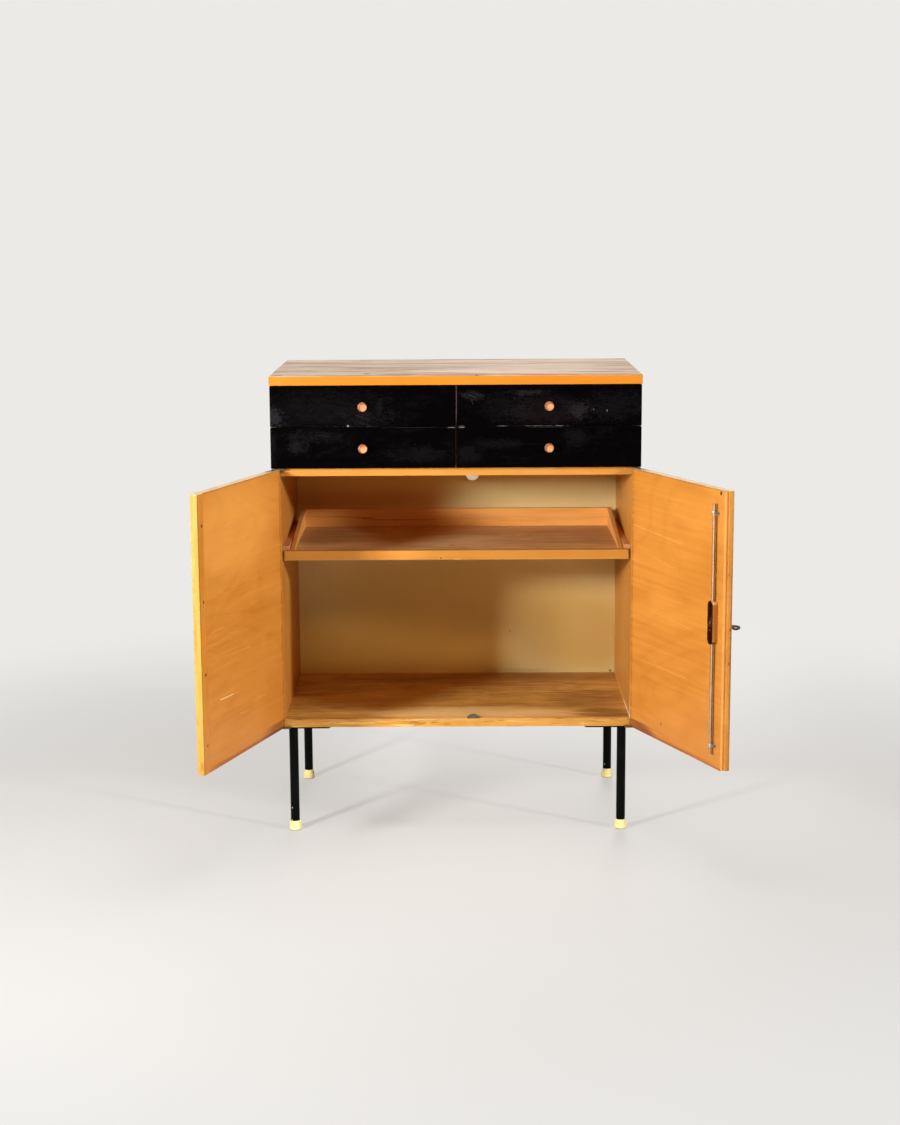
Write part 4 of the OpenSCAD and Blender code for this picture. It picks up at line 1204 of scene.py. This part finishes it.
@dataclass
class Tray:
    """The pull-out tray.

    Args:
        ease: The width of its eased edges.
    """

    ease: float = 0.6 * MM

    def dress(self) -> None:
        """Gives the tray's boards their finishes."""
        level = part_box("tray_board")[1].z
        marks = (
            Spot((-0.33, 0.00), (0.11, 0.13), (160, 112, 70), 0.6, 0.95, 2.0),
            Spot((0.34, 0.00), (0.10, 0.13), (170, 118, 72), 0.5, 0.95, 2.0),
            Spot((0.27, 0.09), (0.13, 0.10), (190, 140, 96), 0.4, 0.95, 3.0),
            Spot((0.05, 0.12), (0.30, 0.06), (240, 186, 136), 0.45, 0.95, 2.0),
            Spot((-0.02, -0.05), (0.16, 0.10), (244, 210, 160), 0.5, 0.95, 2.5),
            Spot((0.0, 0.13), (0.36, 0.02), (226, 180, 130), 0.4, 0.95, 2.0),
            Spot((-0.01, -0.12), (0.012, 0.010), (120, 78, 44), 0.5, 0.9, 3.0),
            Scratch((-0.28, 0.155), (-0.27, 0.150), 1.6 * MM, (90, 56, 30), 0.7),
            Scratch((0.03, -0.09), (0.19, -0.085), 1.2 * MM, (250, 222, 178), 0.5),
        )
        patina = (Patina((158, 112, 72), 0.55, (4.0, 22.0), 0.0, 0.22, 1.0),
                  Patina((250, 222, 170), 0.6, (9.0, 60.0), 0.0, 0.2, 4.0),
                  Patina((136, 90, 54), 0.55, (14.0, 150.0), 0.05, 0.2, 7.0))
        board = Wood("tray_floor", (236, 200, 144), (194, 148, 94), Axis.X, shift=11.0,
                     contrast=1.6, patina=patina, shine=0.5,
                     wear=(Wear.at(Face.LEVEL, level, marks),))
        dress(board, "tray_board", ease=0.4 * MM)
        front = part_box("tray_front_strip")[0].y
        nicks = (
            Spot((-0.034, 0.617), (0.0022, 0.0022), (90, 52, 24), 0.9, 0.6),
            Spot((-0.047, 0.619), (0.0016, 0.0016), (120, 72, 34), 0.8, 0.6),
            Spot((0.002, 0.6145), (0.010, 0.0014), (244, 200, 128), 0.4, 0.9, 3.0),
            Spot((-0.10, 0.6135), (0.20, 0.0010), (120, 74, 34), 0.4, 0.9, 4.0),
        )
        strip = Wood("tray_lipping", EDGE_PALE, EDGE_DARK, Axis.X, shift=12.4,
                     wear=(Wear(Face.UPRIGHT, front - MM, front + 1.2 * MM, nicks),))
        dress(strip, "tray_front_strip", ease=self.ease)
        back_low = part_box("tray_back_wall")[0]
        wall = Wood("tray_wall", (246, 186, 102), (226, 156, 78), Axis.X, shift=13.8,
                    contrast=1.2, wear=(Wear.at(Face.UPRIGHT, back_low.y, self._vein()),))
        dress(wall, "tray_back_wall", ease=self.ease)
        flank = Wood("tray_flanks", (240, 182, 102), (212, 146, 72), Axis.Y, shift=14.6)
        dress(flank, "tray_left_side", "tray_right_side", ease=self.ease)

    def _vein(self) -> tuple[Mark, ...]:
        """Draws the dark vein that wanders along the back wall, and its two branches.

        Returns:
            Its stretches on X and Z.
        """
        path = ((-0.36, 0.6555), (-0.29, 0.6550), (-0.22, 0.6515), (-0.14, 0.6475), (-0.05, 0.6475),
                (0.05, 0.6495), (0.14, 0.6530), (0.24, 0.6500), (0.36, 0.6520))
        widths = (1.8, 2.6, 3.6, 2.4, 1.8, 1.6, 1.6, 1.8)
        depths = (0.48, 0.56, 0.6, 0.52, 0.4, 0.36, 0.36, 0.36)
        stretches = (*zip(path, path[1:], widths, depths),
                     ((-0.24, 0.6475), (-0.12, 0.6455), 1.6, 0.36),
                     ((0.10, 0.6440), (0.30, 0.6455), 1.4, 0.24))
        return tuple(Scratch(start, end, width * MM, (166, 86, 42), depth)
                     for start, end, width, depth in stretches)


@dataclass
class Door:
    """A swung door with its hinge leaves.

    Args:
        side: left or right.
        place: How the door stands at rest.
        edge: The light and the dark tone of its free edge's lipping.
        ease: The width of its eased edges.
        leaf_reach: How far the leaf's two screws are from the pivot.
        lip: How deep the lipping is.
    """

    side: str
    place: Place
    edge: tuple[Tone, Tone]
    ease: float = 0.7 * MM
    leaf_reach: Pair = (14 * MM, 38 * MM)
    lip: float = 1.1 * MM

    @property
    def sign(self) -> int:
        """-1 for the left door and 1 for the right."""
        return -1 if self.side == "left" else 1

    def top_band(self, piece: str) -> Band:
        """The worn pale top end of one of the door's boards."""
        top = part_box(piece)[1].z
        return Band(Axis.Z, top - 0.8 * MM, top + MM, (232, 208, 168), (190, 152, 104))

    def edge_band(self, free: float) -> Band:
        """The lipping on the free edge, which has this X on the closed door."""
        ends = sorted((free - self.sign * MM, free + self.sign * self.lip))
        return Band(Axis.X, *ends, *self.edge)

    def rebate_painted_light(self) -> tuple[Band, ...]:
        """Painted light: a paler band on the inner wall of the door's rebate, if it has one in sight."""
        return ()

    def edge_marks(self) -> tuple[Wear, ...]:
        """The marks on the panel's free edge, if there are any."""
        return ()

    def marks(self) -> tuple[Mark, ...]:
        """What has happened to the inner face, on the closed door's X and Z."""
        return ()

    def dress(self) -> None:
        """Gives the panel and the leaves their finishes."""
        panel = f"{self.side}_door_panel"
        low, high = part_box(panel)
        middle = self.sign * 0.2
        painted_shade_and_rims = (
            # Painted shade: the lower part of the inner face is darker.
            Spot((middle, 0.24), (0.45, 0.30), (170, 96, 30), 0.26, 0.95, 0.6),
            Spot((middle, low.z), (0.6, 0.009), (140, 66, 22), 0.7, 0.95, 3.0),
            Spot((self.sign * 0.36, low.z), (0.10, 0.022), (100, 46, 18), 0.8, 0.95, 3.0),
            Spot((middle, high.z), (0.6, 0.004), HAIR_LINE, 0.4, 0.95, 3.0),
            Spot((self.sign * 0.392, 0.53), (0.005, 0.6), HAIR_LINE, 0.4, 0.95, 3.0),
        )
        wear = Wear.at(Face.UPRIGHT, INNER_FACE, self.marks() + painted_shade_and_rims)
        wood = Wood(f"birch_{self.side}_door", BIRCH_PALE, BIRCH_DARK, Axis.X, self.place,
                    shift=15.0 + self.sign, contrast=1.15, figure=0.13,
                    bands=(self.edge_band(self.sign * MM), self.top_band(panel), *self.rebate_painted_light()),
                    wear=(wear, *self.edge_marks()))
        dress(wood, panel, ease=self.ease)
        steel = Steel(f"{self.side}_leaf_steel", (96, 88, 78), (62, 50, 40), Axis.X)
        dress(steel, f"{self.side}_hinge_leaves", ease=0.2 * MM)

    def screw_leaves(self) -> None:
        """Puts the screws into the two leaves, with their heads just under the metal's face."""
        low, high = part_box(f"{self.side}_hinge_leaves")
        steel = Steel(f"{self.side}_leaf_screw_steel", (168, 160, 146), (100, 78, 58)).material()
        for level, z, way in (("upper", high.z - SUNK, 1), ("lower", low.z + SUNK, -1)):
            for k, reach in enumerate(self.leaf_reach):
                at = (self.place.pivot[0] - self.sign * reach, self.place.pivot[1], z)
                LEAF_SCREW.drive(f"{self.side}_{level}_leaf_screw_{k}", at, (0, 0, way), steel,
                                 f"{self.side}_door", self.place)


@dataclass
class LeftDoor(Door):
    """The left door, with the strip that meets the right one.

    Args:
        free: The strip's free edge on the closed door.
        nail_in: How far the strip's nails are from its free edge.
        nail_heights: The nails' heights.
        nail: The nails' heads.
    """

    free: float = 4.5 * MM
    nail_in: float = 18.5 * MM
    nail_heights: tuple[float, ...] = (0.7525, 0.598, 0.4485, 0.301)
    nail: SlottedHead = SlottedHead(1.3 * MM, 0.25 * MM, 12 * MM)

    def marks(self) -> tuple[Mark, ...]:
        """Lists the scratches on the inner face, and the painted light on its upper part.

        Returns:
            The marks on the closed door's X and Z.
        """
        return (
            Scratch((-0.078, 0.382), (-0.138, 0.380), 2.8 * MM, (255, 222, 160), 1.0),
            Scratch((-0.138, 0.380), (-0.166, 0.379), 1.6 * MM, PALE_LINE, 0.5),
            Scratch((-0.172, 0.330), (-0.214, 0.328), 1.6 * MM, PALE_LINE, 0.5),
            Scratch((-0.046, 0.528), (-0.104, 0.530), 1.4 * MM, PALE_LINE, 0.4),
            Scratch((-0.116, 0.737), (-0.166, 0.740), 1.4 * MM, PALE_LINE, 0.4),
            Scratch((-0.060, 0.470), (-0.230, 0.462), 1.6 * MM, PALE_LINE, 0.25),
            Scratch((-0.090, 0.355), (-0.300, 0.342), 1.6 * MM, PALE_LINE, 0.25),
            Scratch((-0.235, 0.500), (-0.120, 0.512), 1.2 * MM, PALE_LINE, 0.25),
            Scratch((-0.070, 0.560), (-0.130, 0.552), 1.2 * MM, HAIR_LINE, 0.25),
            # Painted light: the upper part of the inner face is paler.
            Spot((-0.16, 0.735), (0.26, 0.13), (246, 172, 84), 0.45, 0.95, 0.4),
        )

    def dress(self) -> None:
        """Gives the door and its strip their finishes."""
        super().dress()
        x = self.free - self.nail_in
        rings = tuple(Spot((x, z), (5.0 * MM, 4.2 * MM), (96, 46, 16), 0.9, 0.8)
                      for z in self.nail_heights)
        seams = (
            Spot((self.free - 2.5 * MM, 0.54), (4.0 * MM, 0.6), (168, 102, 22), 0.55, 0.9, 1.0),
            Spot((x - 4 * MM, 0.60), (4.0 * MM, 0.16), (232, 140, 62), 0.5, 0.95, 2.0),
            Spot((x - 2 * MM, 0.30), (8.0 * MM, 0.03), (186, 138, 62), 0.4, 0.95, 3.0),
        )
        corner = Wear.at(Face.FLANK, self.free, (
            Spot((INNER_FACE, 0.262), (0.018, 0.014), (176, 96, 34), 0.7, 0.9, 2.0),
            Spot((INNER_FACE, 0.45), (0.004, 0.16), (214, 140, 52), 0.4, 0.9, 2.0),
        ), 0.8 * MM)
        wood = Wood("meeting_strip_wood", BIRCH_PALE, BIRCH_DARK, Axis.Z, self.place, shift=18.0,
                    bands=(self.edge_band(self.free), self.top_band("left_meeting_strip")),
                    wear=(Wear.at(Face.UPRIGHT, INNER_FACE, rings + seams), corner))
        dress(wood, "left_meeting_strip", ease=0.5 * MM)

    def drive_nails(self) -> None:
        """Drives the nails through the strip."""
        steel = Steel("nail_steel", (64, 32, 14), (40, 20, 10), age=0.8).material()
        for k, z in enumerate(self.nail_heights):
            at = (self.free - self.nail_in, INNER_FACE - 0.15 * MM, z)
            self.nail.drive(f"strip_nail_{k}", at, (0, 1, 0), steel, "left_door", self.place)


@dataclass
class LockDoor(Door):
    """The right door, with its bolt lock.

    Args:
        case_deep: How far the lock's case stands out from the door's inner face.
        case_x: The X of the case's middle on the closed door.
        case_z: Its height.
        wall_x: The X of the inner wall of the door's rebate.
        free_x: The X of its free edge.
        outer_y: The Y of its outer face.
    """

    case_deep: float = 12.5 * MM
    case_x: float = 35.5 * MM
    case_z: float = 546.5 * MM
    wall_x: float = 6.5 * MM
    free_x: float = 1.0 * MM
    outer_y: float = -242.0 * MM

    def marks(self) -> tuple[Mark, ...]:
        """Lists a small hole near the top, the scratches and the stains on the inner face.

        Returns:
            The marks on the closed door's X and Z.
        """
        return (
            Spot((0.0215, 0.811), (0.0040, 0.0046), (48, 26, 14), 0.95, 0.5),
            Scratch((0.390, 0.695), (0.176, 0.685), 2.0 * MM, PALE_LINE, 0.35),
            Scratch((0.385, 0.401), (0.150, 0.405), 1.8 * MM, PALE_LINE, 0.35),
            Scratch((0.330, 0.640), (0.210, 0.628), 1.6 * MM, PALE_LINE, 0.25),
            Scratch((0.300, 0.520), (0.120, 0.512), 1.8 * MM, PALE_LINE, 0.2),
            Spot((0.255, 0.281), (0.006, 0.005), (150, 84, 38), 0.6, 0.9, 2.0),
            Spot((0.10, 0.33), (0.07, 0.05), (200, 120, 52), 0.25, 0.95, 2.0),
        )

    def rebate_painted_light(self) -> tuple[Band, ...]:
        """Painted light: a paler band on the inner wall of the rebate."""
        return (Band(Axis.X, self.wall_x - 0.4 * MM, self.wall_x + 0.4 * MM, (238, 178, 94),
                     (220, 152, 70)),)

    def edge_marks(self) -> tuple[Wear, ...]:
        """Lists the dirt and the chips on the free edge.

        Returns:
            The marks on the closed door's Y and Z.
        """
        marks = (
            Spot((self.outer_y, 0.40), (0.0050, 0.50), (134, 80, 38), 0.7, 0.9, 1.0),
            Spot((self.outer_y + 0.006, 0.28), (0.012, 0.06), (190, 110, 40), 0.4, 0.9, 1.0),
            *(Spot((self.outer_y + y, z), (0.0020, 0.0034), (84, 44, 18), 0.85, 0.8, 1.5)
              for y, z in ((0.009, 0.649), (0.004, 0.535), (0.003, 0.519), (0.005, 0.466),
                           (0.010, 0.700))),
        )
        return (Wear.at(Face.FLANK, self.free_x, marks, 0.8 * MM),)

    def dress(self) -> None:
        """Gives the door and its lock their finishes."""
        super().dress()
        # Painted shade: the half of each rod nearer the door is darkened along its whole length.
        rod_painted_shade = Wear(Face.UPRIGHT, INNER_FACE, INNER_FACE + 7 * MM, (
            Spot((self.case_x, self.case_z), (0.5, 0.5), (46, 30, 24), 0.9, 0.5),
        ))
        rod = Steel("rod_steel", (198, 166, 146), (144, 108, 86), Axis.Z, 0.26, 0.25,
                    self.place, (rod_painted_shade,))
        dress(rod, "upper_rod", "lower_rod")
        front = INNER_FACE + self.case_deep
        # Painted shade: the case's front face is darkened to brown all over; two small pale dots on it
        # stand for a rivet's and a pin's heads.
        painted_shade_brown = (100, 58, 32)
        rubbed = Wear(Face.UPRIGHT, front - 0.4 * MM, front + MM, (
            Spot((self.case_x, self.case_z), (0.5, 0.5), painted_shade_brown, 0.9, 0.5),
            Spot((self.case_x, self.case_z), (0.002, 0.002), (196, 170, 130), 0.9, 0.5),
            Spot((self.case_x, self.case_z - 0.014), (0.002, 0.002), (160, 122, 84), 0.6, 0.7),
        ))
        # A painted highlight near the top of the case's side walls, and painted shade at their bottom
        # end.
        painted_highlight_and_shade = Wear(Face.UPRIGHT, INNER_FACE + 2 * MM, front - 0.8 * MM, (
            Spot((self.case_x - 0.006, self.case_z + 0.041), (0.007, 0.005), (250, 232, 200), 0.9, 0.8),
            Spot((self.case_x, self.case_z - 0.045), (0.02, 0.008), painted_shade_brown, 0.8, 0.8),
        ))
        bronze = Steel("lock_case_bronzed", (182, 150, 94), (126, 96, 54), Axis.Z, 0.24, 0.35,
                       self.place, (rubbed, painted_highlight_and_shade))
        dress(bronze, "lock_case", ease=0.6 * MM)
        zinc = Steel("lock_zinc", (196, 190, 176), (128, 106, 84), Axis.X, 0.3, 0.35)
        dress(zinc, "rod_guides", "key_escutcheon", "lock_pinion", ease=0.15 * MM)
        dress(Steel("guide_screw_steel", (112, 84, 60), (66, 44, 30), Axis.X, 0.35, 0.5),
              "guide_screws")
        dress(Steel("key_steel", (92, 80, 66), (36, 28, 22), Axis.X, 0.3, 0.7), "key", ease=0.3 * MM)


@dataclass
class Fittings:
    """The hinges' case leaves and the keepers.

    Args:
        keeper_screw: The keepers' screws.
        arm_x: The X of a case leaf's tail.
        arm_reach: How far its screws are behind the case's front.
        keeper_x: How far a keeper's screws are from its middle.
        keeper_y: How far they are behind its lip.
        sheet: The thickness of the keepers' metal.
    """

    keeper_screw: SlottedHead = SlottedHead(2.7 * MM, 1.3 * MM, 8 * MM, 0.6 * MM, 65.0)
    arm_x: float = 375 * MM
    arm_reach: Pair = (14 * MM, 36 * MM)
    keeper_x: float = 8.96 * MM
    keeper_y: float = 9.3 * MM
    sheet: float = 1.5 * MM

    def dress(self) -> None:
        """Gives the metal its finishes."""
        dress(Steel("hinge_steel", (104, 96, 84), (64, 52, 42), Axis.Y), "hinge_arms", ease=0.2 * MM)
        low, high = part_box("door_keepers")
        # Painted dark reflection: the whole lower keeper is darkened to grey-brown.
        painted_dark_reflection = Wear(Face.LEVEL, low.z - MM, low.z + 60 * MM, (
            Spot(((low.x + high.x) / 2, low.y), (0.06, 0.06), (78, 62, 46), 0.75, 0.3),
        ))
        keeper = Steel("keeper_zinc", (170, 164, 146), (104, 82, 56), Axis.X, 0.34, 0.55,
                       wear=(painted_dark_reflection,))
        dress(keeper, "door_keepers", ease=0.3 * MM)

    def screw_down(self) -> None:
        """Puts the screws into the case leaves and the keepers."""
        steel = Steel("fitting_screw_steel", (168, 160, 146), (100, 78, 58)).material()
        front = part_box("dust_panel")[0].y
        low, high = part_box("dust_panel")[1].z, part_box("bottom_panel")[0].z
        for side, sign in (("left", -1), ("right", 1)):
            for level, z, way in (("upper", low - SUNK, 1), ("lower", high + SUNK, -1)):
                for k, reach in enumerate(self.arm_reach):
                    at = (sign * self.arm_x, front + reach, z)
                    LEAF_SCREW.drive(f"{side}_{level}_arm_screw_{k}", at, (0, 0, way), steel)
        box_low, box_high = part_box("door_keepers")
        middle = (box_low.x + box_high.x) / 2
        heights = (("upper", box_high.z - self.sheet, -1), ("lower", box_low.z + self.sheet, 1))
        for level, z, way in heights:
            for k, sign in enumerate((-1, 1)):
                at = (middle + sign * self.keeper_x, box_low.y + self.keeper_y, z)
                self.keeper_screw.drive(f"{level}_keeper_screw_{k}", at, (0, 0, way), steel)


@dataclass
class Legs:
    """The corner plates, the leg tubes and the ferrules."""

    def dress(self) -> None:
        """Gives the legs their finishes."""
        corners = ("front_left", "front_right", "rear_left", "rear_right")
        dress(BlackSteel("black_steel_plates"), "corner_plates", ease=0.5 * MM)
        dress(Steel("plate_screw_steel", (120, 116, 108), (70, 58, 48), Axis.X, 0.35, 0.6),
              "plate_screws")
        dress(BlackSteel("black_steel_legs"), *(f"{corner}_leg" for corner in corners))
        dress(Ivory("ivory_plastic_aged"), *(f"{corner}_ferrule" for corner in corners))


@dataclass(frozen=True)
class Lamp:
    """A studio lamp.

    Args:
        name: The lamp's name.
        at: Where it stands.
        towards: The point that it looks at.
        size: Its width and height.
        watts: Its power.
        tint: Its colour.
    """

    name: str
    at: tuple[float, float, float]
    towards: tuple[float, float, float]
    size: Pair
    watts: float
    tint: tuple[float, float, float] = (1.0, 1.0, 1.0)

    def build(self) -> None:
        """Hangs the lamp."""
        light = bpy.data.lights.new(self.name, "AREA")
        light.shape, light.size, light.size_y = "RECTANGLE", *self.size
        light.energy, light.color = self.watts, self.tint
        lamp = bpy.data.objects.new(self.name, light)
        lamp.location = self.at
        way = Vector(self.at) - Vector(self.towards)
        lamp.rotation_euler = way.to_track_quat("Z", "Y").to_euler()
        lamp.visible_camera = False
        bpy.context.scene.collection.objects.link(lamp)


@dataclass(frozen=True)
class Studio:
    """The pale floor, the light and the photograph's camera.

    Args:
        pale: What shows behind the object.
        ground: The two tones of the floor.
        glow: How much of the floor is background next to the object.
        fade: The distances from which and to which it turns into background.
        reach: The floor's radius.
        fill: The strength of the light from all round.
        eye: The camera's place.
        pitch: How far it looks down, in degrees.
        yaw: How far it is turned to the right.
        roll: How far it is tilted.
        focal: Its focal length in pixels of the photograph.
        tall: The photograph's height in pixels.
        sensor: The height of its sensor in millimetres.
        sight: The nearest and the farthest that it sees.
        lamps: The lamps.
    """

    pale: Tone = (236, 234, 231)
    ground: tuple[Tone, Tone] = ((192, 189, 185), (186, 183, 179))
    glow: float = 0.5
    fade: Pair = (0.7, 2.3)
    reach: float = 40.0
    fill: float = 0.025
    eye: tuple[float, float, float] = (0.0073, -4.4582, 1.3702)
    pitch: float = 10.175
    yaw: float = -0.291
    roll: float = -0.335
    focal: float = 1968.0
    tall: int = 1125
    sensor: float = 36.0
    sight: Pair = (0.1, 100.0)
    lamps: tuple[Lamp, ...] = (
        Lamp("left_lamp", (-1.68, -2.01, 1.20), (0.2, -0.1, 0.6), (0.26, 0.26), 80.0),
        Lamp("right_lamp", (6.57, -4.28, 2.42), (-0.1, -0.2, 0.6), (0.5, 0.5), 428.0),
        Lamp("ceiling", (0.0, -0.25, 3.0), (0.0, -0.15, 0.5), (1.3, 1.3), 43.0),
        Lamp("back_soft", (0.5, 3.6, 0.55), (0.0, 0.2, 0.55), (1.8, 0.8), 60.0),
        Lamp("floor_bounce", (0.0, -3.2, 0.12), (0.0, 0.2, 0.45), (2.4, 0.2), 6.0, (1.0, 0.74, 0.42)),
    )

    @staticmethod
    def _sees_backdrop(board: Board) -> Wire:
        """Where a ray comes from the camera, a mirror or glass.

        Args:
            board: The nodes to add to.

        Returns:
            A mask.
        """
        rays = [board.add("ShaderNodeLightPath", output=f"Is {kind} Ray")
                for kind in ("Camera", "Glossy", "Transmission")]
        return (rays[0] + rays[1] + rays[2]).least(1.0)

    def build_floor(self) -> None:
        """Lays the floor, which turns into the pale background far out."""
        mesh = bmesh.new()
        bmesh.ops.create_circle(mesh, cap_ends=True, segments=96, radius=self.reach)
        data = bpy.data.meshes.new("floor")
        mesh.to_mesh(data)
        mesh.free()
        coat = Coat("studio_floor")
        across, along, _ = coat.axes
        far = across.sum("SQRT", across * across + along * along)
        colour = coat.mix(coat.noise((3.0, 3.0, 3.0), 4.0) + 0.5, *self.ground)
        ground = coat.add("ShaderNodeBsdfPrincipled", {}, {"Base Color": colour, "Roughness": 0.6})
        glow = coat.add("ShaderNodeEmission", {}, {"Color": paint(*self.pale), "Strength": 1.0})
        share = (coat.rise(far, *self.fade) * (1 - self.glow) + self.glow) * self._sees_backdrop(coat)
        shader = coat.add("ShaderNodeMixShader", {}, {0: share, 1: ground, 2: glow})
        coat.add("ShaderNodeOutputMaterial", {}, {"Surface": shader})
        data.materials.append(coat.material)
        floor = bpy.data.objects.new("floor", data)
        bpy.context.scene.collection.objects.link(floor)

    def build_world(self) -> None:
        """Makes the pale surroundings and their even light."""
        world = bpy.data.worlds.new("studio")
        bpy.context.scene.world = world
        world.use_nodes = True
        board = Board(world.node_tree)
        seen = board.add("ShaderNodeBackground", {}, {"Color": paint(*self.pale), "Strength": 1.0})
        light = board.add("ShaderNodeBackground", {}, {"Color": (1.0,) * 4, "Strength": self.fill})
        shader = board.add("ShaderNodeMixShader", {}, {0: self._sees_backdrop(board), 1: light, 2: seen})
        board.add("ShaderNodeOutputWorld", {}, {"Surface": shader})

    def build_camera(self) -> None:
        """Sets the camera up where the photograph was taken from."""
        pitch, yaw, roll = (math.radians(a) for a in (self.pitch, self.yaw, self.roll))
        ahead = Vector((math.sin(yaw) * math.cos(pitch), math.cos(yaw) * math.cos(pitch),
                        -math.sin(pitch)))
        side = Vector((math.cos(yaw), -math.sin(yaw), 0.0))
        up = side.cross(ahead)
        right = side * math.cos(roll) + up * math.sin(roll)
        top = up * math.cos(roll) - side * math.sin(roll)
        data = bpy.data.cameras.new("camera")
        data.sensor_width = self.sensor
        data.lens = self.focal * self.sensor / self.tall
        data.clip_start, data.clip_end = self.sight
        camera = bpy.data.objects.new("camera", data)
        matrix = Matrix((right, top, -ahead)).transposed().to_4x4()
        matrix.translation = self.eye
        camera.matrix_world = matrix
        bpy.context.scene.collection.objects.link(camera)
        bpy.context.scene.camera = camera

    def build(self) -> None:
        """Sets up the whole studio."""
        self.build_camera()
        self.build_floor()
        self.build_world()
        for lamp in self.lamps:
            lamp.build()
        bpy.context.scene.view_settings.view_transform = "Standard"


def main() -> None:
    """Builds the studio and dresses the sideboard, sub-assembly by sub-assembly."""
    logging.basicConfig(level=logging.INFO, format="%(name)s: %(message)s")
    Studio().build()
    case = Case()
    case.dress()
    case.pin_back()
    Fronts().dress()
    Tray().dress()
    left = LeftDoor("left", Place.of_hinge("left_door_hinge"), ((192, 162, 78), (170, 130, 52)))
    left.dress()
    left.screw_leaves()
    left.drive_nails()
    right = LockDoor("right", Place.of_hinge("right_door_hinge"), ((212, 150, 62), (184, 120, 42)))
    right.dress()
    right.screw_leaves()
    fittings = Fittings()
    fittings.dress()
    fittings.screw_down()
    Legs().dress()


if __name__ == "__main__":
    main()
